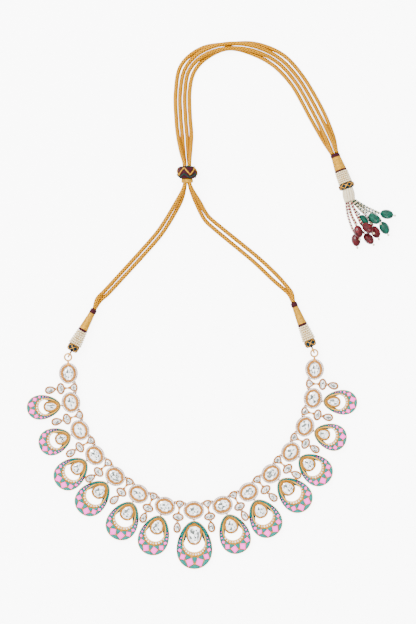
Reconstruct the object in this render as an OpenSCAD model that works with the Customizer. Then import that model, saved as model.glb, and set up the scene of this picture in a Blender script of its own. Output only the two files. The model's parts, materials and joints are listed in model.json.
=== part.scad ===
// Kundan collar necklace, lying flat: fifteen stone-set ovals and fourteen stone-set links in one chain,
// thirteen enamelled drops below it, and a four-strand gold cord with a slider and a bead tassel.
// Millimetres, +Z up, +Y towards the back of the neck. The origin is under the middle of the collar.

/* [Chain] */
// Distance between the centres of two neighbouring ovals
link_pitch = 16.6; // [16.5:0.05:17.2]
// Height of the cups under the settings, where the eyes interlock
cup_h = 2.75; // [2.75:0.05:3.5]
// Height of the settings' rims above the surface
rim_z = 4.3; // [4.1:0.1:5]
// How far a stone stands above its rim
stone_rise = 0.4; // [0.2:0.1:0.8]
// Clearance round every stone
stone_gap = 0.1; // [0.08:0.01:0.15]

/* [Oval links] */
// Length of the plate that carries the halo of small stones
halo_l = 11.7; // [11:0.1:12]
// Width of the halo plate
halo_w = 10.5; // [10:0.1:11.5]
// Thickness of the halo plate
halo_t = 0.6; // [0.4:0.1:0.8]
// Length of the main bezel
bezel_l = 10.1; // [9.6:0.1:10.8]
// Width of the main bezel
bezel_w = 8.3; // [7.8:0.1:9]
// Length of the main stone
oval_stone_l = 8; // [7:0.1:8.6]
// Width of the main stone
oval_stone_w = 6; // [5:0.1:6.8]
// How far the cup stands inside the halo plate
oval_inset = 1.4; // [1.3:0.05:1.5]

/* [Connector links] */
// Length of the inner setting, a rounded trillion
trillion_l = 4.8; // [4.4:0.1:5]
// Width of the trillion
trillion_w = 5.4; // [5:0.1:5.6]
// Height of the outer setting, a marquise
marquise_h = 4.8; // [4.4:0.1:5]
// Width of the marquise
marquise_w = 6.8; // [6:0.1:7]
// Width of a small setting's rim
small_rim = 0.9; // [0.7:0.05:1.1]
// How far the small cups stand inside their rims
small_inset = 0.6; // [0.5:0.05:0.7]
// Width of the two crossing straps between trillion and marquise
strap_w = 0.7; // [0.6:0.05:0.9]

/* [Pears] */
// Length of a small pear setting
pear_l = 6.4; // [6:0.1:6.6]
// Width of a small pear setting
pear_w = 4.6; // [4.2:0.1:4.7]

/* [Enamelled drops] */
// Length of the centre drop
drop_l = 27.4; // [26:0.2:29]
// Width of the centre drop
drop_w = 20.6; // [19.6:0.2:21.4]
// Thickness of a drop's plate
drop_t = 2.4; // [2:0.1:2.6]
// Height of the gold edges above the enamel
edge_h = 0.3; // [0.2:0.05:0.6]
// Width of the gold outer edge
edge_w = 0.25; // [0.2:0.05:0.5]
// Width of the gold band round the hole
band_w = 0.8; // [0.5:0.05:1]
// Width of the gold crescent under the centre drop's hole, which carries small stones
pave_w = 2.3; // [1.8:0.1:2.6]
// Height of the inner setting above the surface
collet_z = 3.8; // [3.5:0.1:4.4]
// Width of the inner setting's rim
collet_rim = 1; // [0.8:0.05:1.2]
// Gap between an oval's plate and its drop
drop_gap = 0.9; // [0.8:0.1:1.2]

/* [Eyes] */
// Wire of the eyes between ovals and connectors
eye_wire = 0.6; // [0.5:0.05:0.65]
// Centreline radius of those eyes
eye_r = 0.75; // [0.72:0.01:0.8]
// Wire of the eyes that carry the pears
pear_eye_wire = 0.45; // [0.4:0.01:0.5]
// Centreline radius of those eyes
pear_eye_r = 0.75; // [0.72:0.01:0.8]
// Wire of the eyes that carry the drops
drop_eye_wire = 0.65; // [0.5:0.05:0.7]
// Centreline radius of those eyes
drop_eye_r = 0.95; // [0.92:0.01:1]

/* [End rings] */
// Centreline radius of the flat ring on each last oval
ring_r = 1.97; // [1.8:0.01:2.1]
// Wire of that ring and of the cord's loop through it
ring_wire = 0.76; // [0.6:0.02:0.9]
// Height of that ring's wire above the surface
ring_z = 3.8; // [3.7:0.05:4]
// Length of the neck between the last oval and its ring
ring_neck = 1.4; // [1.2:0.1:2]
// Thickness of that neck
neck_d = 1.1; // [0.9:0.1:1.2]
// Centreline radius of the loop on the cord's end
loop_r = 1.6; // [1.5:0.01:1.7]

/* [Cord] */
// Diameter of one strand
strand_d = 2.4; // [2:0.1:2.4]
// Diameter of the slider
slider_d = 11.6; // [10:0.1:11.6]
// Length of the slider along the cord
slider_l = 7.1; // [6:0.1:8]
// Diameter of the wrap under the slider
wrap_d = 6.8; // [6.6:0.1:8]
// Length of that wrap
wrap_l = 2.2; // [1.8:0.1:2.4]

/* [Cord ends] */
// Length of the enamelled knob
knob_l = 4; // [3.5:0.1:4.5]
// Diameter of the knob
knob_d = 6.8; // [6:0.1:7.4]
// Length of the woven bead sleeve
sleeve_l = 8.9; // [8:0.1:9.2]
// Large diameter of the bead sleeve
sleeve_d = 7.7; // [7:0.1:7.8]
// Small diameter of the bead sleeve
sleeve_d2 = 5.8; // [5.4:0.1:6.4]
// Large diameter of the gold cone
cone_d = 5.4; // [5:0.1:5.6]
// Width of the cone at the cord, and of the tie there
cone_d2 = 3.6; // [3.2:0.1:4]
// Length of the tie round the strands
tie_l = 2.3; // [1.8:0.1:2.4]
// Length of the thin band between cone and sleeve
band_l = 1; // [0.6:0.1:1.1]

/* [Tassel] */
// Length of the tassel's gold cone
tassel_cone_l = 7.6; // [7:0.1:8]
// Large diameter of that cone
tassel_cone_d = 7; // [6.4:0.1:7.2]
// Small diameter of that cone
tassel_cone_d2 = 5.4; // [5:0.1:5.8]
// Length of the tassel's bead sleeve
tassel_sleeve_l = 7.2; // [6.6:0.1:7.6]
// Diameter of that sleeve
tassel_sleeve_d = 8; // [7.4:0.1:8.2]
// Length of the wound ring
turban_l = 3.1; // [2.6:0.1:3.4]
// Diameter of the wound ring
turban_d = 8.9; // [8.4:0.1:8.9]
// Diameter of the bundle of white strands
bundle_d = 6.2; // [5.6:0.1:6.6]
// Diameter of one string of seed beads
string_d = 1.3; // [1:0.1:1.3]
// Length of an emerald bead
emerald_l = 7.8; // [7:0.1:8]
// Diameter of an emerald bead
emerald_d = 5.5; // [5:0.1:5.6]
// Length of a ruby bead
ruby_l = 7.4; // [6.6:0.1:7.6]
// Diameter of a ruby bead
ruby_d = 5.2; // [4.8:0.1:5.3]
// Bore through each bead
bead_bore = 0.9; // [0.8:0.05:1.1]
// Diameter of the thread through the beads
thread_d = 0.5; // [0.4:0.05:0.55]
// Diameter of the small bead that stops each thread
stop_d = 1.4; // [1.2:0.1:1.5]

/* [Hidden] */
$fn = 32;
// Gap between parts of the cord's fittings
fit_gap = 0.1;

// Turns of the chain in degrees, from the centre oval outwards
chain_turns = [9, 17, 12, 9, 13, 13, 13];
end_turn = 4;
last = len(chain_turns);

// Drops from the centre outwards. Lengths are shares of the centre drop's length and width,
// hang is the direction from the oval's centre to the eye, tilt is the drop's own direction,
// both in degrees away from straight down. The inner setting is a shield, widest at its top, or an egg.
LENGTH = 0;
WIDTH = 1;
TILT = 2;
HANG = 3;
COLLET_L = 4;
COLLET_W = 5;
COLLET = 6;
drop_table = [
    [1.000, 1.000,  0.0,  0.0, 0.430, 0.495, "shield"],
    [0.845, 0.862, 18.5, 25.5, 0.405, 0.465, "egg"],
    [0.838, 0.885, 27.5, 36.5, 0.405, 0.455, "egg"],
    [0.832, 0.860, 45.0, 50.0, 0.400, 0.465, "egg"],
    [0.785, 0.825, 51.0, 59.0, 0.410, 0.470, "egg"],
    [0.693, 0.745, 71.0, 61.0, 0.420, 0.445, "egg"],
    [0.708, 0.690, 86.0, 72.0, 0.440, 0.455, "egg"],
];
// The hole in a drop, as shares of the drop's own length and width
hole_top = 0.084;
hole_bottom = 0.655;
hole_width = 0.59;
collet_top = 0.07;

// How far each pear swings from its link's middle line, in degrees, from the centre outwards
pear_swing_left = [-6, -2, 12, 15, -3, 8, -5];
pear_swing_right = [-1, 2, 12, 15, -3, 7, -9];

// Shares of an egg outline
egg_skew = 0.2;
egg_points = 36;
oval_points = 32;
small_points = 20;
collet_points = 24;
stone_points = 12;
small_stone_points = 10;

// Layout of a connector, from the middle of the line between two ovals
trillion_y = -0.15;
strap_l = 2.5;
strap_turn = 18;
marquise_y = trillion_y - strap_l - marquise_h / 2;
eye_lap = 0.06;
pear_tip_lap = small_inset - pear_eye_wire / 2 - 0.1;

eye_z = cup_h / 2;
eye_y = trillion_y + trillion_l * 0.6;
stone_seat = 0.9;

function sum_to(v, k) = k <= 0 ? 0 : v[k - 1] + sum_to(v, k - 1);
function unit(a) = [cos(a), sin(a)];
function turn2(p, a) = [p[0] * cos(a) - p[1] * sin(a), p[0] * sin(a) + p[1] * cos(a)];
function heading(k) = sum_to(chain_turns, k);
function station(k) = k == 0 ? [0, 0] : station(k - 1) + link_pitch * unit(heading(k));
function middle(k) = (station(k - 1) + station(k)) / 2;
function oval_angle(k) =
    k == 0 ? 0
    : k == last ? heading(last) + end_turn
    : (heading(k) + heading(k + 1)) / 2;
function oval_radius(l, w, a) = 1 / sqrt(pow(2 * cos(a) / l, 2) + pow(2 * sin(a) / w, 2));

// The drop's eye lies beyond the oval's plate, its wire let into the drop's tip
function eye_reach(k) = oval_radius(halo_l, halo_w, drop_table[k][HANG] - 90 - oval_angle(k))
    + drop_gap + drop_eye_wire / 2 - drop_eye_r;
function drop_eye(k) = station(k) + eye_reach(k) * unit(drop_table[k][HANG] - 90);
drop_tip = drop_eye_r - drop_eye_wire / 2;

// Where the end ring lies, and the middle of the collar's footprint
ring_reach = halo_l / 2 + ring_neck + ring_r;
ring_place = station(last) + ring_reach * unit(oval_angle(last));
collar_top = ring_place[1] + ring_r + ring_wire / 2;
collar_bottom = drop_eye(0)[1] - drop_tip - drop_l;
mid_y = (collar_top + collar_bottom) / 2;

// Outlines: each goes round anticlockwise, and shift turns its points by a share of a step
function ellipse_at(l, w, a) = [l / 2 * cos(a), w / 2 * sin(a)];
function egg_at(l, w, a) = [w / 2 * cos(a) * (1 - egg_skew * sin(a)) * 0.98, -l / 2 * (1 - sin(a))];
function bulge(v, power) = sign(v) * pow(abs(v), power);
function shield_at(l, w, a) = [
    w / 2 * bulge(cos(a), 0.8) * (0.9 + 0.1 * sin(a)), -l / 2 * (1 - bulge(sin(a), 0.85))
];
function trillion_at(l, w, a) = [w / 2 * cos(a) * (0.88 + 0.38 * sin(a)), l / 2 * (1 + sin(a))];
function marquise_at(l, w, a) = [w / 2 * bulge(cos(a), 1.05), l / 2 * sin(a)];
function outline_at(kind, l, w, a) =
    kind == "oval" ? ellipse_at(l, w, a)
    : kind == "egg" ? egg_at(l, w, a)
    : kind == "shield" ? shield_at(l, w, a)
    : kind == "trillion" ? trillion_at(l, w, a)
    : marquise_at(l, w, a);
// The middle of an outline, towards which it shrinks
function heart_of(kind, l) =
    kind == "egg" || kind == "shield" ? [0, -l / 2]
    : kind == "trillion" ? [0, l / 2]
    : [0, 0];
function outline(kind, l, w, n, inset = 0, shift = 0) = [
    for (i = [0 : n - 1])
        heart_of(kind, l) - heart_of(kind, l - 2 * inset)
            + outline_at(kind, l - 2 * inset, w - 2 * inset, 360 * (i + shift) / n)
];
function lift(points, z) = [for (p = points) [p[0], p[1], z]];

// A closed solid through rings of equal count, flat at both ends
module loft(rings) {
    n = len(rings[0]);
    m = len(rings);
    polyhedron(
        points = [for (r = rings) for (p = r) p],
        faces = concat(
            [[for (i = [0 : n - 1]) i]],
            [for (j = [0 : m - 2]) for (i = [0 : n - 1]) each [
                [j * n + i, (j + 1) * n + i, (j + 1) * n + (i + 1) % n],
                [j * n + i, (j + 1) * n + (i + 1) % n, j * n + (i + 1) % n]
            ]],
            [[for (i = [n - 1 : -1 : 0]) (m - 1) * n + i]]
        )
    );
}

// A flat-backed cut stone: a girdle, a ring of crown facets and a table
module cut_stone(kind, l, w, n, z0, z1) {
    h = z1 - z0;
    table_cut = min(l, w) * 0.2;
    loft([
        lift(outline(kind, l, w, n, inset = table_cut / 3), z0),
        lift(outline(kind, l, w, n), z0 + h * 0.35),
        lift(outline(kind, l, w, n), z0 + h * 0.5),
        lift(outline(kind, l, w, n, inset = table_cut, shift = 0.5), z1),
    ]);
}

module slab(kind, l, w, n, z0, z1, inset = 0) {
    translate([0, 0, z0]) linear_extrude(z1 - z0) polygon(outline(kind, l, w, n, inset));
}

module ring(r, wire) {
    rotate_extrude($fn = 48) translate([r, 0]) circle(d = wire);
}

module flat_eye(x, y, r, wire) {
    translate([x, y, eye_z]) ring(r, wire);
}

// A ring standing on edge, its plane holding the direction given
module upright_eye(x, y, r, wire, direction = 0) {
    translate([x, y, eye_z]) rotate([90, 0, direction]) ring(r, wire);
}

// Places on the right half of the chain. The left half is its mirror image.
module on_side(left) {
    mirror([left ? 1 : 0, 0, 0]) translate([0, -mid_y, 0]) children();
}
module at_station(k) {
    translate(station(k)) rotate(oval_angle(k)) children();
}
module at_connector(k) {
    translate(middle(k)) rotate(heading(k)) children();
}
module at_drop(k) {
    translate(drop_eye(k)) rotate(drop_table[k][TILT]) children();
}

// Oval links, numbered from the left end to the right end
trillion_cup = trillion_w / 2 - small_inset;
flat_eye_x = trillion_cup + eye_r - eye_wire / 4;
upright_eye_x = flat_eye_x + eye_r;
stub_end = link_pitch / 2 - halo_l / 6;

module oval_setting() {
    difference() {
        union() {
            slab("oval", halo_l, halo_w, oval_points, 0, cup_h + halo_t / 2, inset = oval_inset);
            slab("oval", halo_l, halo_w, oval_points, cup_h, cup_h + halo_t);
            slab("oval", bezel_l, bezel_w, oval_points, cup_h + halo_t / 2, rim_z);
        }
        slab("oval", oval_stone_l, oval_stone_w, oval_points,
            rim_z - stone_seat, rim_z + 1, inset = -stone_gap);
    }
}

// The oval's upright eye, in its connector's frame, with the stub that joins it to the cup
module oval_eye(side) {
    upright_eye(side * upright_eye_x, eye_y, eye_r, eye_wire);
    start = upright_eye_x + eye_r;
    translate([side * start, eye_y, eye_z]) rotate([0, side * 90, 0])
        cylinder(d = eye_wire, h = stub_end - start);
}

module end_ring() {
    translate([halo_l / 2 + ring_neck + ring_r, 0, ring_z]) ring(ring_r, ring_wire);
    translate([halo_l / 2 - 0.6, 0, cup_h + halo_t / 2])
        cylinder(d = 2, h = ring_z + neck_d / 2 + 0.2 - cup_h - halo_t / 2);
    translate([halo_l / 2 - 0.6, 0, ring_z]) rotate([0, 90, 0])
        cylinder(d = neck_d, h = ring_neck + 0.6);
}

module oval_link(i) {
    k = abs(i - last);
    color("#d9a27c") on_side(i < last) {
        at_station(k) oval_setting();
        if (k > 0) at_connector(k) oval_eye(1);
        if (k < last) at_connector(k + 1) oval_eye(-1);
        if (k == 0) mirror([1, 0, 0]) at_connector(1) oval_eye(-1);
        if (k < last) {
            flat_at = drop_eye(k) - drop_eye_r * unit(drop_table[k][HANG] - 90);
            flat_eye(flat_at[0], flat_at[1], drop_eye_r, drop_eye_wire);
        }
        if (k == last) at_station(k) end_ring();
    }
}

module oval_stones() {
    color("#eef0f4") for (i = [0 : 2 * last]) on_side(i < last) at_station(abs(i - last))
        cut_stone("oval", oval_stone_l, oval_stone_w, stone_points,
            rim_z - stone_seat + stone_gap, rim_z + stone_rise);
}

// Connector links: a trillion towards the neck, a strap, and a marquise with the pear's eye
small_rim_z = rim_z - 0.3;

module small_setting(kind, l, w) {
    difference() {
        union() {
            slab(kind, l, w, small_points, 0, cup_h + 0.2, inset = small_inset);
            slab(kind, l, w, small_points, cup_h, small_rim_z);
        }
        slab(kind, l, w, small_points,
            small_rim_z - stone_seat, small_rim_z + 1, inset = small_rim - stone_gap);
    }
}

module small_stone(kind, l, w) {
    shrink = 2 * small_rim;
    translate(heart_of(kind, l) - heart_of(kind, l - shrink))
        cut_stone(kind, l - shrink, w - shrink, small_stone_points,
            small_rim_z - stone_seat + stone_gap, small_rim_z + stone_rise);
}

marquise_cup_y = marquise_y - marquise_h / 2 + small_inset;
pear_eye_y = marquise_cup_y + pear_eye_wire / 2 - 2 * pear_eye_r;
pear_flat_y = pear_eye_y + pear_eye_r + eye_lap;

module connector(k) {
    at_connector(k) {
        translate([0, trillion_y, 0]) small_setting("trillion", trillion_l, trillion_w);
        translate([0, marquise_y, 0]) small_setting("marquise", marquise_h, marquise_w);
        for (side = [-1, 1]) flat_eye(side * flat_eye_x, eye_y, eye_r, eye_wire);
        flat_eye(0, pear_flat_y, pear_eye_r, pear_eye_wire);
        strap_half = strap_l / 2 + small_inset + 0.5;
        for (side = [-1, 1]) translate([0, trillion_y - strap_l / 2, cup_h / 2]) rotate(side * strap_turn)
            translate([-strap_w / 2, -strap_half, 0]) cube([strap_w, 2 * strap_half, cup_h / 2 + 0.3]);
    }
}

module connector_links() {
    color("#d9a27c") for (left = [false, true]) for (k = [1 : last]) on_side(left) connector(k);
}

module connector_stones() {
    color("#eef0f4") for (left = [false, true]) for (k = [1 : last]) on_side(left) at_connector(k) {
        translate([0, trillion_y, 0]) small_stone("trillion", trillion_l, trillion_w);
        translate([0, marquise_y, 0]) small_stone("marquise", marquise_h, marquise_w);
    }
}

// Pears, each hanging by an upright eye in its marquise's flat eye
module at_pear(left, k) {
    swing = left ? pear_swing_left[k - 1] : pear_swing_right[k - 1];
    on_side(left) at_connector(k) translate([0, pear_eye_y, 0]) rotate(swing) children();
}

module pear_settings() {
    color("#d9a27c") for (left = [false, true]) for (k = [1 : last]) at_pear(left, k) {
        translate([0, pear_tip_lap, 0]) small_setting("egg", pear_l, pear_w);
        upright_eye(0, 0, pear_eye_r, pear_eye_wire, direction = 90);
    }
}

module pear_stones() {
    color("#eef0f4") for (left = [false, true]) for (k = [1 : last]) at_pear(left, k)
        translate([0, pear_tip_lap, 0]) small_stone("egg", pear_l, pear_w);
}

// Enamelled drops: a pierced plate with gold edges, and the inner setting held at its top
module at_collet(l) {
    translate([0, -l * collet_top, 0]) children();
}

module drop_hole(l, w, z0, z1) {
    translate([0, -l * hole_top, 0])
        slab("egg", l * (hole_bottom - hole_top), w * hole_width, egg_points, z0, z1);
}

// The gold round the hole: a band at its top and sides, and the crescent under it
module hole_gold(l, w, pave, z0, z1) {
    translate([0, band_w - l * hole_top, 0])
        slab("egg", l * (hole_bottom - hole_top) + band_w + pave, w * hole_width + 2 * band_w,
            egg_points, z0, z1);
}

module drop_frame(i) {
    k = abs(i - last + 1);
    l = drop_l * drop_table[k][LENGTH];
    w = drop_w * drop_table[k][WIDTH];
    collet_l = l * drop_table[k][COLLET_L];
    collet_w = w * drop_table[k][COLLET_W];
    collet = drop_table[k][COLLET];
    color("#4fb3a8") on_side(i < last - 1) at_drop(k) {
        translate([0, -drop_tip, 0]) difference() {
            union() {
                difference() {
                    slab("egg", l, w, egg_points, 0, drop_t + edge_h);
                    difference() {
                        slab("egg", l, w, egg_points, drop_t, drop_t + 1, inset = edge_w);
                        hole_gold(l, w, pave_w * drop_table[k][LENGTH], drop_t - 1, drop_t + 2);
                    }
                    drop_hole(l, w, -1, drop_t + 1);
                }
                at_collet(l) slab(collet, collet_l, collet_w, collet_points, 0.6, collet_z);
            }
            at_collet(l) slab(collet, collet_l, collet_w, collet_points,
                collet_z - stone_seat, collet_z + 1, inset = collet_rim - stone_gap);
        }
        upright_eye(0, 0, drop_eye_r, drop_eye_wire, direction = 90);
    }
}

module drop_stones() {
    color("#eef0f4") for (i = [0 : 2 * (last - 1)]) {
        k = abs(i - last + 1);
        l = drop_l * drop_table[k][LENGTH];
        stone_l = l * drop_table[k][COLLET_L] - 2 * collet_rim;
        stone_w = drop_w * drop_table[k][WIDTH] * drop_table[k][COLLET_W] - 2 * collet_rim;
        on_side(i < last - 1) at_drop(k) translate([0, -drop_tip - collet_rim, 0]) at_collet(l)
            cut_stone(drop_table[k][COLLET], stone_l, stone_w, stone_points,
                collet_z - stone_seat + stone_gap, collet_z + stone_rise);
    }
}

// Routes of the four strands, from their ties through the slider and over the arch to the tassel
strand_routes = [
    [[-54.7, 86.8, 3.7], [-52.9, 92.7, 3.4], [-48.3, 97.5, 1.3], [-19, 129, 1.2], [-6.6, 147.7, 3.9],
     [-1.9, 157, 7.15], [-1.9, 167.5, 7.15], [-3.9, 176, 5], [-5.5, 185, 2.6], [-6.3, 195, 1.2],
     [-6.4, 209, 1.2], [-3.1, 224.6, 1.2], [8.5, 234.2, 1.2], [24, 236.5, 1.2], [40, 236.3, 1.2],
     [55.5, 229.5, 1.2], [67.3, 215.7, 1.2], [77.7, 196.8, 1.2], [83.1, 182.6, 1.2], [84.7, 173.4, 1.3]],
    [[-54.7, 86.8, 1.2], [-51.3, 91.6, 1.2], [-46.5, 95.7, 1.2], [-17, 127.3, 1.2], [-4.9, 146.3, 1.4],
     [-1.9, 157, 4.55], [-1.9, 167.5, 4.55], [-2.5, 176, 2.6], [-3, 185, 1.4], [-3.7, 195, 1.2],
     [-3.8, 209, 1.2], [-0.6, 223.2, 1.2], [9.4, 232.6, 3.4], [24, 236.5, 3.7], [39.4, 234.6, 3.4],
     [53.8, 227.3, 1.2], [65.1, 214.2, 1.2], [75.2, 195.6, 1.2], [81.4, 182, 3.4], [84.7, 173.4, 3.8]],
    [[58.6, 88.7, 3.7], [57.5, 94.6, 3.4], [49.5, 104.5, 1.2], [37.5, 116, 1.2], [12, 137.5, 1.2],
     [6.2, 146.9, 3.9], [0.7, 157, 7.15], [0.7, 167.5, 7.15], [1.5, 176, 5], [2.2, 185, 2.6],
     [1.6, 195, 1.2], [1.5, 209, 1.2], [4.1, 220.5, 1.2], [11.6, 228.8, 1.2], [24, 233.9, 1.2],
     [38, 230.5, 1.2], [50.5, 223.1, 1.2], [60.7, 211.3, 1.2], [70.3, 193.2, 1.2], [77.3, 180.4, 1.2],
     [82.3, 172.6, 1.3]],
    [[58.6, 88.7, 1.2], [55.9, 93.9, 1.2], [47.5, 101.5, 1.2], [35.5, 113.2, 1.2], [10.5, 134.8, 1.2],
     [4.6, 145.4, 1.4], [0.7, 157, 4.55], [0.7, 167.5, 4.55], [0.1, 176, 2.6], [-0.3, 185, 1.4],
     [-1, 195, 1.2], [-1.1, 209, 1.2], [1.6, 221.9, 1.2], [10.6, 230.4, 3.4], [24, 233.9, 3.7],
     [38.6, 232.2, 3.4], [52.2, 225.3, 1.2], [62.9, 212.8, 1.2], [72.8, 194.4, 1.2], [79, 181, 3.4],
     [82.3, 172.6, 3.8]],
];
strand_sides = 8;

function normal(v) = v / norm(v);
function tangent(p, i) = normal(p[min(i + 1, len(p) - 1)] - p[max(i - 1, 0)]);
function tube_ring(p, i, d, n) = let (
        t = tangent(p, i),
        side = normal(cross([0, 0, 1], t)),
        up = cross(t, side)
    ) [
        for (j = [0 : n - 1]) let (a = 360 * (j + 0.5) / n)
            p[i] + d / 2 * (cos(a) * side + sin(a) * up)
    ];

module tube(p, d, n) {
    loft([for (i = [0 : len(p) - 1]) tube_ring(p, i, d, n)]);
}

module cord_strand(i) {
    color("#d9a84a") tube(strand_routes[i], strand_d, strand_sides);
}

// The slider holds the strands two by two where they run straight
slider_place = [-0.6, 163.5, 5.85];
strand_columns = [-1.3, 1.3];
strand_rows = [-1.3, 1.3];

module strand_bores(l) {
    for (x = strand_columns) for (y = strand_rows)
        translate([x, y, -1]) cylinder(d = strand_d + 2 * fit_gap, h = l + 2);
    translate([strand_columns[0], strand_rows[0], -1])
        cube([strand_columns[1] - strand_columns[0], strand_rows[1] - strand_rows[0], l + 2]);
}

module slider() {
    color("#63323a") translate(slider_place + [0, slider_l / 2, 0]) rotate([90, 0, 0]) difference() {
        rotate_extrude() polygon([
            [0, 0], [slider_d * 0.36, 0], [slider_d * 0.46, slider_l * 0.15],
            [slider_d / 2, slider_l * 0.38], [slider_d / 2, slider_l * 0.62],
            [slider_d * 0.46, slider_l * 0.85], [slider_d * 0.36, slider_l], [0, slider_l]
        ]);
        strand_bores(slider_l);
    }
}

module slider_wrap() {
    wrap_place = slider_place - [0, slider_l / 2 + fit_gap, 0];
    color("#c79a3f") translate(wrap_place) rotate([90, 0, 0]) difference() {
        rotate_extrude() polygon([
            [0, 0], [wrap_d * 0.46, 0], [wrap_d / 2, wrap_l * 0.3], [wrap_d / 2, wrap_l * 0.7],
            [wrap_d * 0.46, wrap_l], [0, wrap_l]
        ]);
        strand_bores(wrap_l);
    }
}

// Each cord end is one straight row of fittings, from the loop in the collar's ring to the tie.
// It rests on its widest fitting, so its thin end slopes down to the surface,
// and the wound cone takes up the length that the other fittings leave.
end_slope = 3.2;
loop_at = 1.8;
knob_at = loop_at + loop_r + ring_wire / 2 + fit_gap;
sleeve_at = knob_at + knob_l + fit_gap;
band_at = sleeve_at + sleeve_l + fit_gap;
cone_at = band_at + band_l + fit_gap;
shank_d = 0.9;
shank_l = 2.4;
strand_gap = 0.4;

function end_start(left) = let (side = left ? -1 : 1)
    [side * ring_place[0], ring_place[1] - mid_y, sleeve_d / 2 + sleeve_at * sin(end_slope) + fit_gap];
function end_step(left) = let (
        target = left ? strand_routes[0][0] : strand_routes[2][0],
        from = end_start(left)
    ) [target[0] - from[0], target[1] - from[1]];
function end_heading(left) = atan2(end_step(left)[1], end_step(left)[0]);
function tie_at(left) = norm(end_step(left)) / cos(end_slope) - strand_gap - tie_l;
function cone_l(left) = tie_at(left) - fit_gap - cone_at;

// Moves children that are built along +Z to a point, turned to a heading and tipped upwards
module along(place, turn, rise) {
    translate(place) rotate(turn) rotate([0, 90 - rise, 0]) children();
}
module on_end(left, s) {
    along(end_start(left), end_heading(left), -end_slope) translate([0, 0, s]) children();
}

module cord_loop(left) {
    color("#c98f4e") {
        on_end(left, loop_at) rotate([90, 0, 0]) ring(loop_r, ring_wire);
        on_end(left, loop_at + loop_r) cylinder(d = shank_d, h = shank_l);
    }
}

module cord_knob(left) {
    color("#2d4a52") on_end(left, knob_at) difference() {
        rotate_extrude() polygon([
            [0, 0], [knob_d * 0.3, 0], [knob_d * 0.45, knob_l * 0.25], [knob_d / 2, knob_l * 0.5],
            [knob_d * 0.48, knob_l * 0.8], [knob_d * 0.4, knob_l], [0, knob_l]
        ]);
        translate([0, 0, -1]) cylinder(d = shank_d + 2 * fit_gap, h = shank_l + 1);
    }
}

module bead_sleeve(left) {
    color("#efe9dc") on_end(left, sleeve_at) cylinder(d1 = sleeve_d, d2 = sleeve_d2, h = sleeve_l);
}

// The cone flattens towards the two stacked strands, and the tie follows them
tie_height = 2 * strand_d + 0.4;
module thread_cone(left) {
    color("#dcc48a") on_end(left, cone_at) loft([
        for (s = [0, 0.5, 1]) lift([for (a = [0 : 15 : 345])
            ellipse_at(cone_d + s * (tie_height - cone_d), cone_d + s * (cone_d2 - cone_d), a)],
            s * cone_l(left))
    ]);
}

module cord_ties(left) {
    color("#6e3642") {
        on_end(left, band_at) cylinder(d = (sleeve_d2 + cone_d) / 2, h = band_l);
        on_end(left, tie_at(left)) linear_extrude(tie_l)
            polygon([for (a = [0 : 15 : 345]) ellipse_at(tie_height + 0.1, cone_d2 + 0.2, a)]);
    }
}

// The tassel hangs on the strands' far end and rests on its wound ring
tassel_start = [83.5, 172.9, 2.6];
tassel_turn = -71;
tassel_slope = 5.8;
tassel_tie_l = 1.9;
tassel_tie_d = 5.7;
tassel_band_l = 0.8;
tassel_tie_at = 0.2;
tassel_cone_at = tassel_tie_at + tassel_tie_l + fit_gap;
tassel_band_at = tassel_cone_at + tassel_cone_l + fit_gap;
tassel_sleeve_at = tassel_band_at + tassel_band_l + fit_gap;
turban_at = tassel_sleeve_at + tassel_sleeve_l + fit_gap;
bundle_at = turban_at + turban_l + fit_gap;

module on_tassel(s) {
    along(tassel_start, tassel_turn, tassel_slope) translate([0, 0, s]) children();
}

module tassel_ties() {
    color("#6e3642") {
        on_tassel(tassel_tie_at) cylinder(d = tassel_tie_d, h = tassel_tie_l);
        on_tassel(tassel_band_at) cylinder(d = tassel_cone_d + 0.2, h = tassel_band_l);
    }
}

module tassel_cone() {
    color("#dcc48a") on_tassel(tassel_cone_at)
        cylinder(d1 = tassel_cone_d2, d2 = tassel_cone_d, h = tassel_cone_l);
}

module tassel_sleeve() {
    color("#efe9dc") on_tassel(tassel_sleeve_at)
        cylinder(d1 = tassel_cone_d + 0.4, d2 = tassel_sleeve_d, h = tassel_sleeve_l);
}

module tassel_turban() {
    color("#4a3040") on_tassel(turban_at) rotate_extrude() polygon([
        [0, 0], [turban_d * 0.42, 0], [turban_d / 2, turban_l * 0.3], [turban_d / 2, turban_l * 0.7],
        [turban_d * 0.42, turban_l], [0, turban_l]
    ]);
}

// Beads of the tassel: place of the middle, direction from the near end to the far end,
// and the points that its string passes on the way from the bundle
BEAD = 0;
TURN = 1;
VIA = 2;
ruby_table = [
    [[94.8, 123.6, 2.7], -80, [[89.6, 145.4, 2.6], [90.4, 138.5, 1.2], [92.4, 131.5, 1.2]]],
    [[102.1, 124.3, 2.7], -52,
        [[90.9, 145.6, 2.4], [92.4, 139, 1.2], [94.4, 133.5, 1.2], [97, 129.4, 1.6]]],
    [[106, 128, 3.4], -66, [[92.8, 146, 4.6], [98, 140.5, 1.5], [101.9, 136.6, 1], [103.2, 133.6, 1.6]]],
    [[96, 128.3, 6.5], -78, [[90.3, 145.5, 4.6], [92, 138.5, 3.8], [94, 134.6, 5.6]]],
    [[101.3, 130.2, 8.2], -42, [[91.6, 145.8, 5.2], [94.5, 139.5, 5.4], [96.9, 134.4, 8]]],
];
emerald_table = [
    [[112.6, 138, 2.9], -10, [[94.2, 146.6, 3.8], [101, 142.4, 2.5], [105.5, 140.2, 2]]],
    [[105.2, 135.6, 5.6], -40, [[93.3, 146.3, 4.8], [97.5, 141.5, 4.8]]],
    [[111.1, 130.3, 2.9], -62,
        [[93.9, 146.4, 2.8], [100.5, 141, 1.2], [106, 138.4, 0.9], [108.2, 136, 1.2]]],
    [[99.2, 134.4, 2.9], -60, [[92.2, 145.9, 3.2], [94.2, 141.5, 2.5]]],
];
bundle_end = [91.7, 145.9, 3.7];
bead_ribs = 8;
rib_depth = 0.05;

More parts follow.
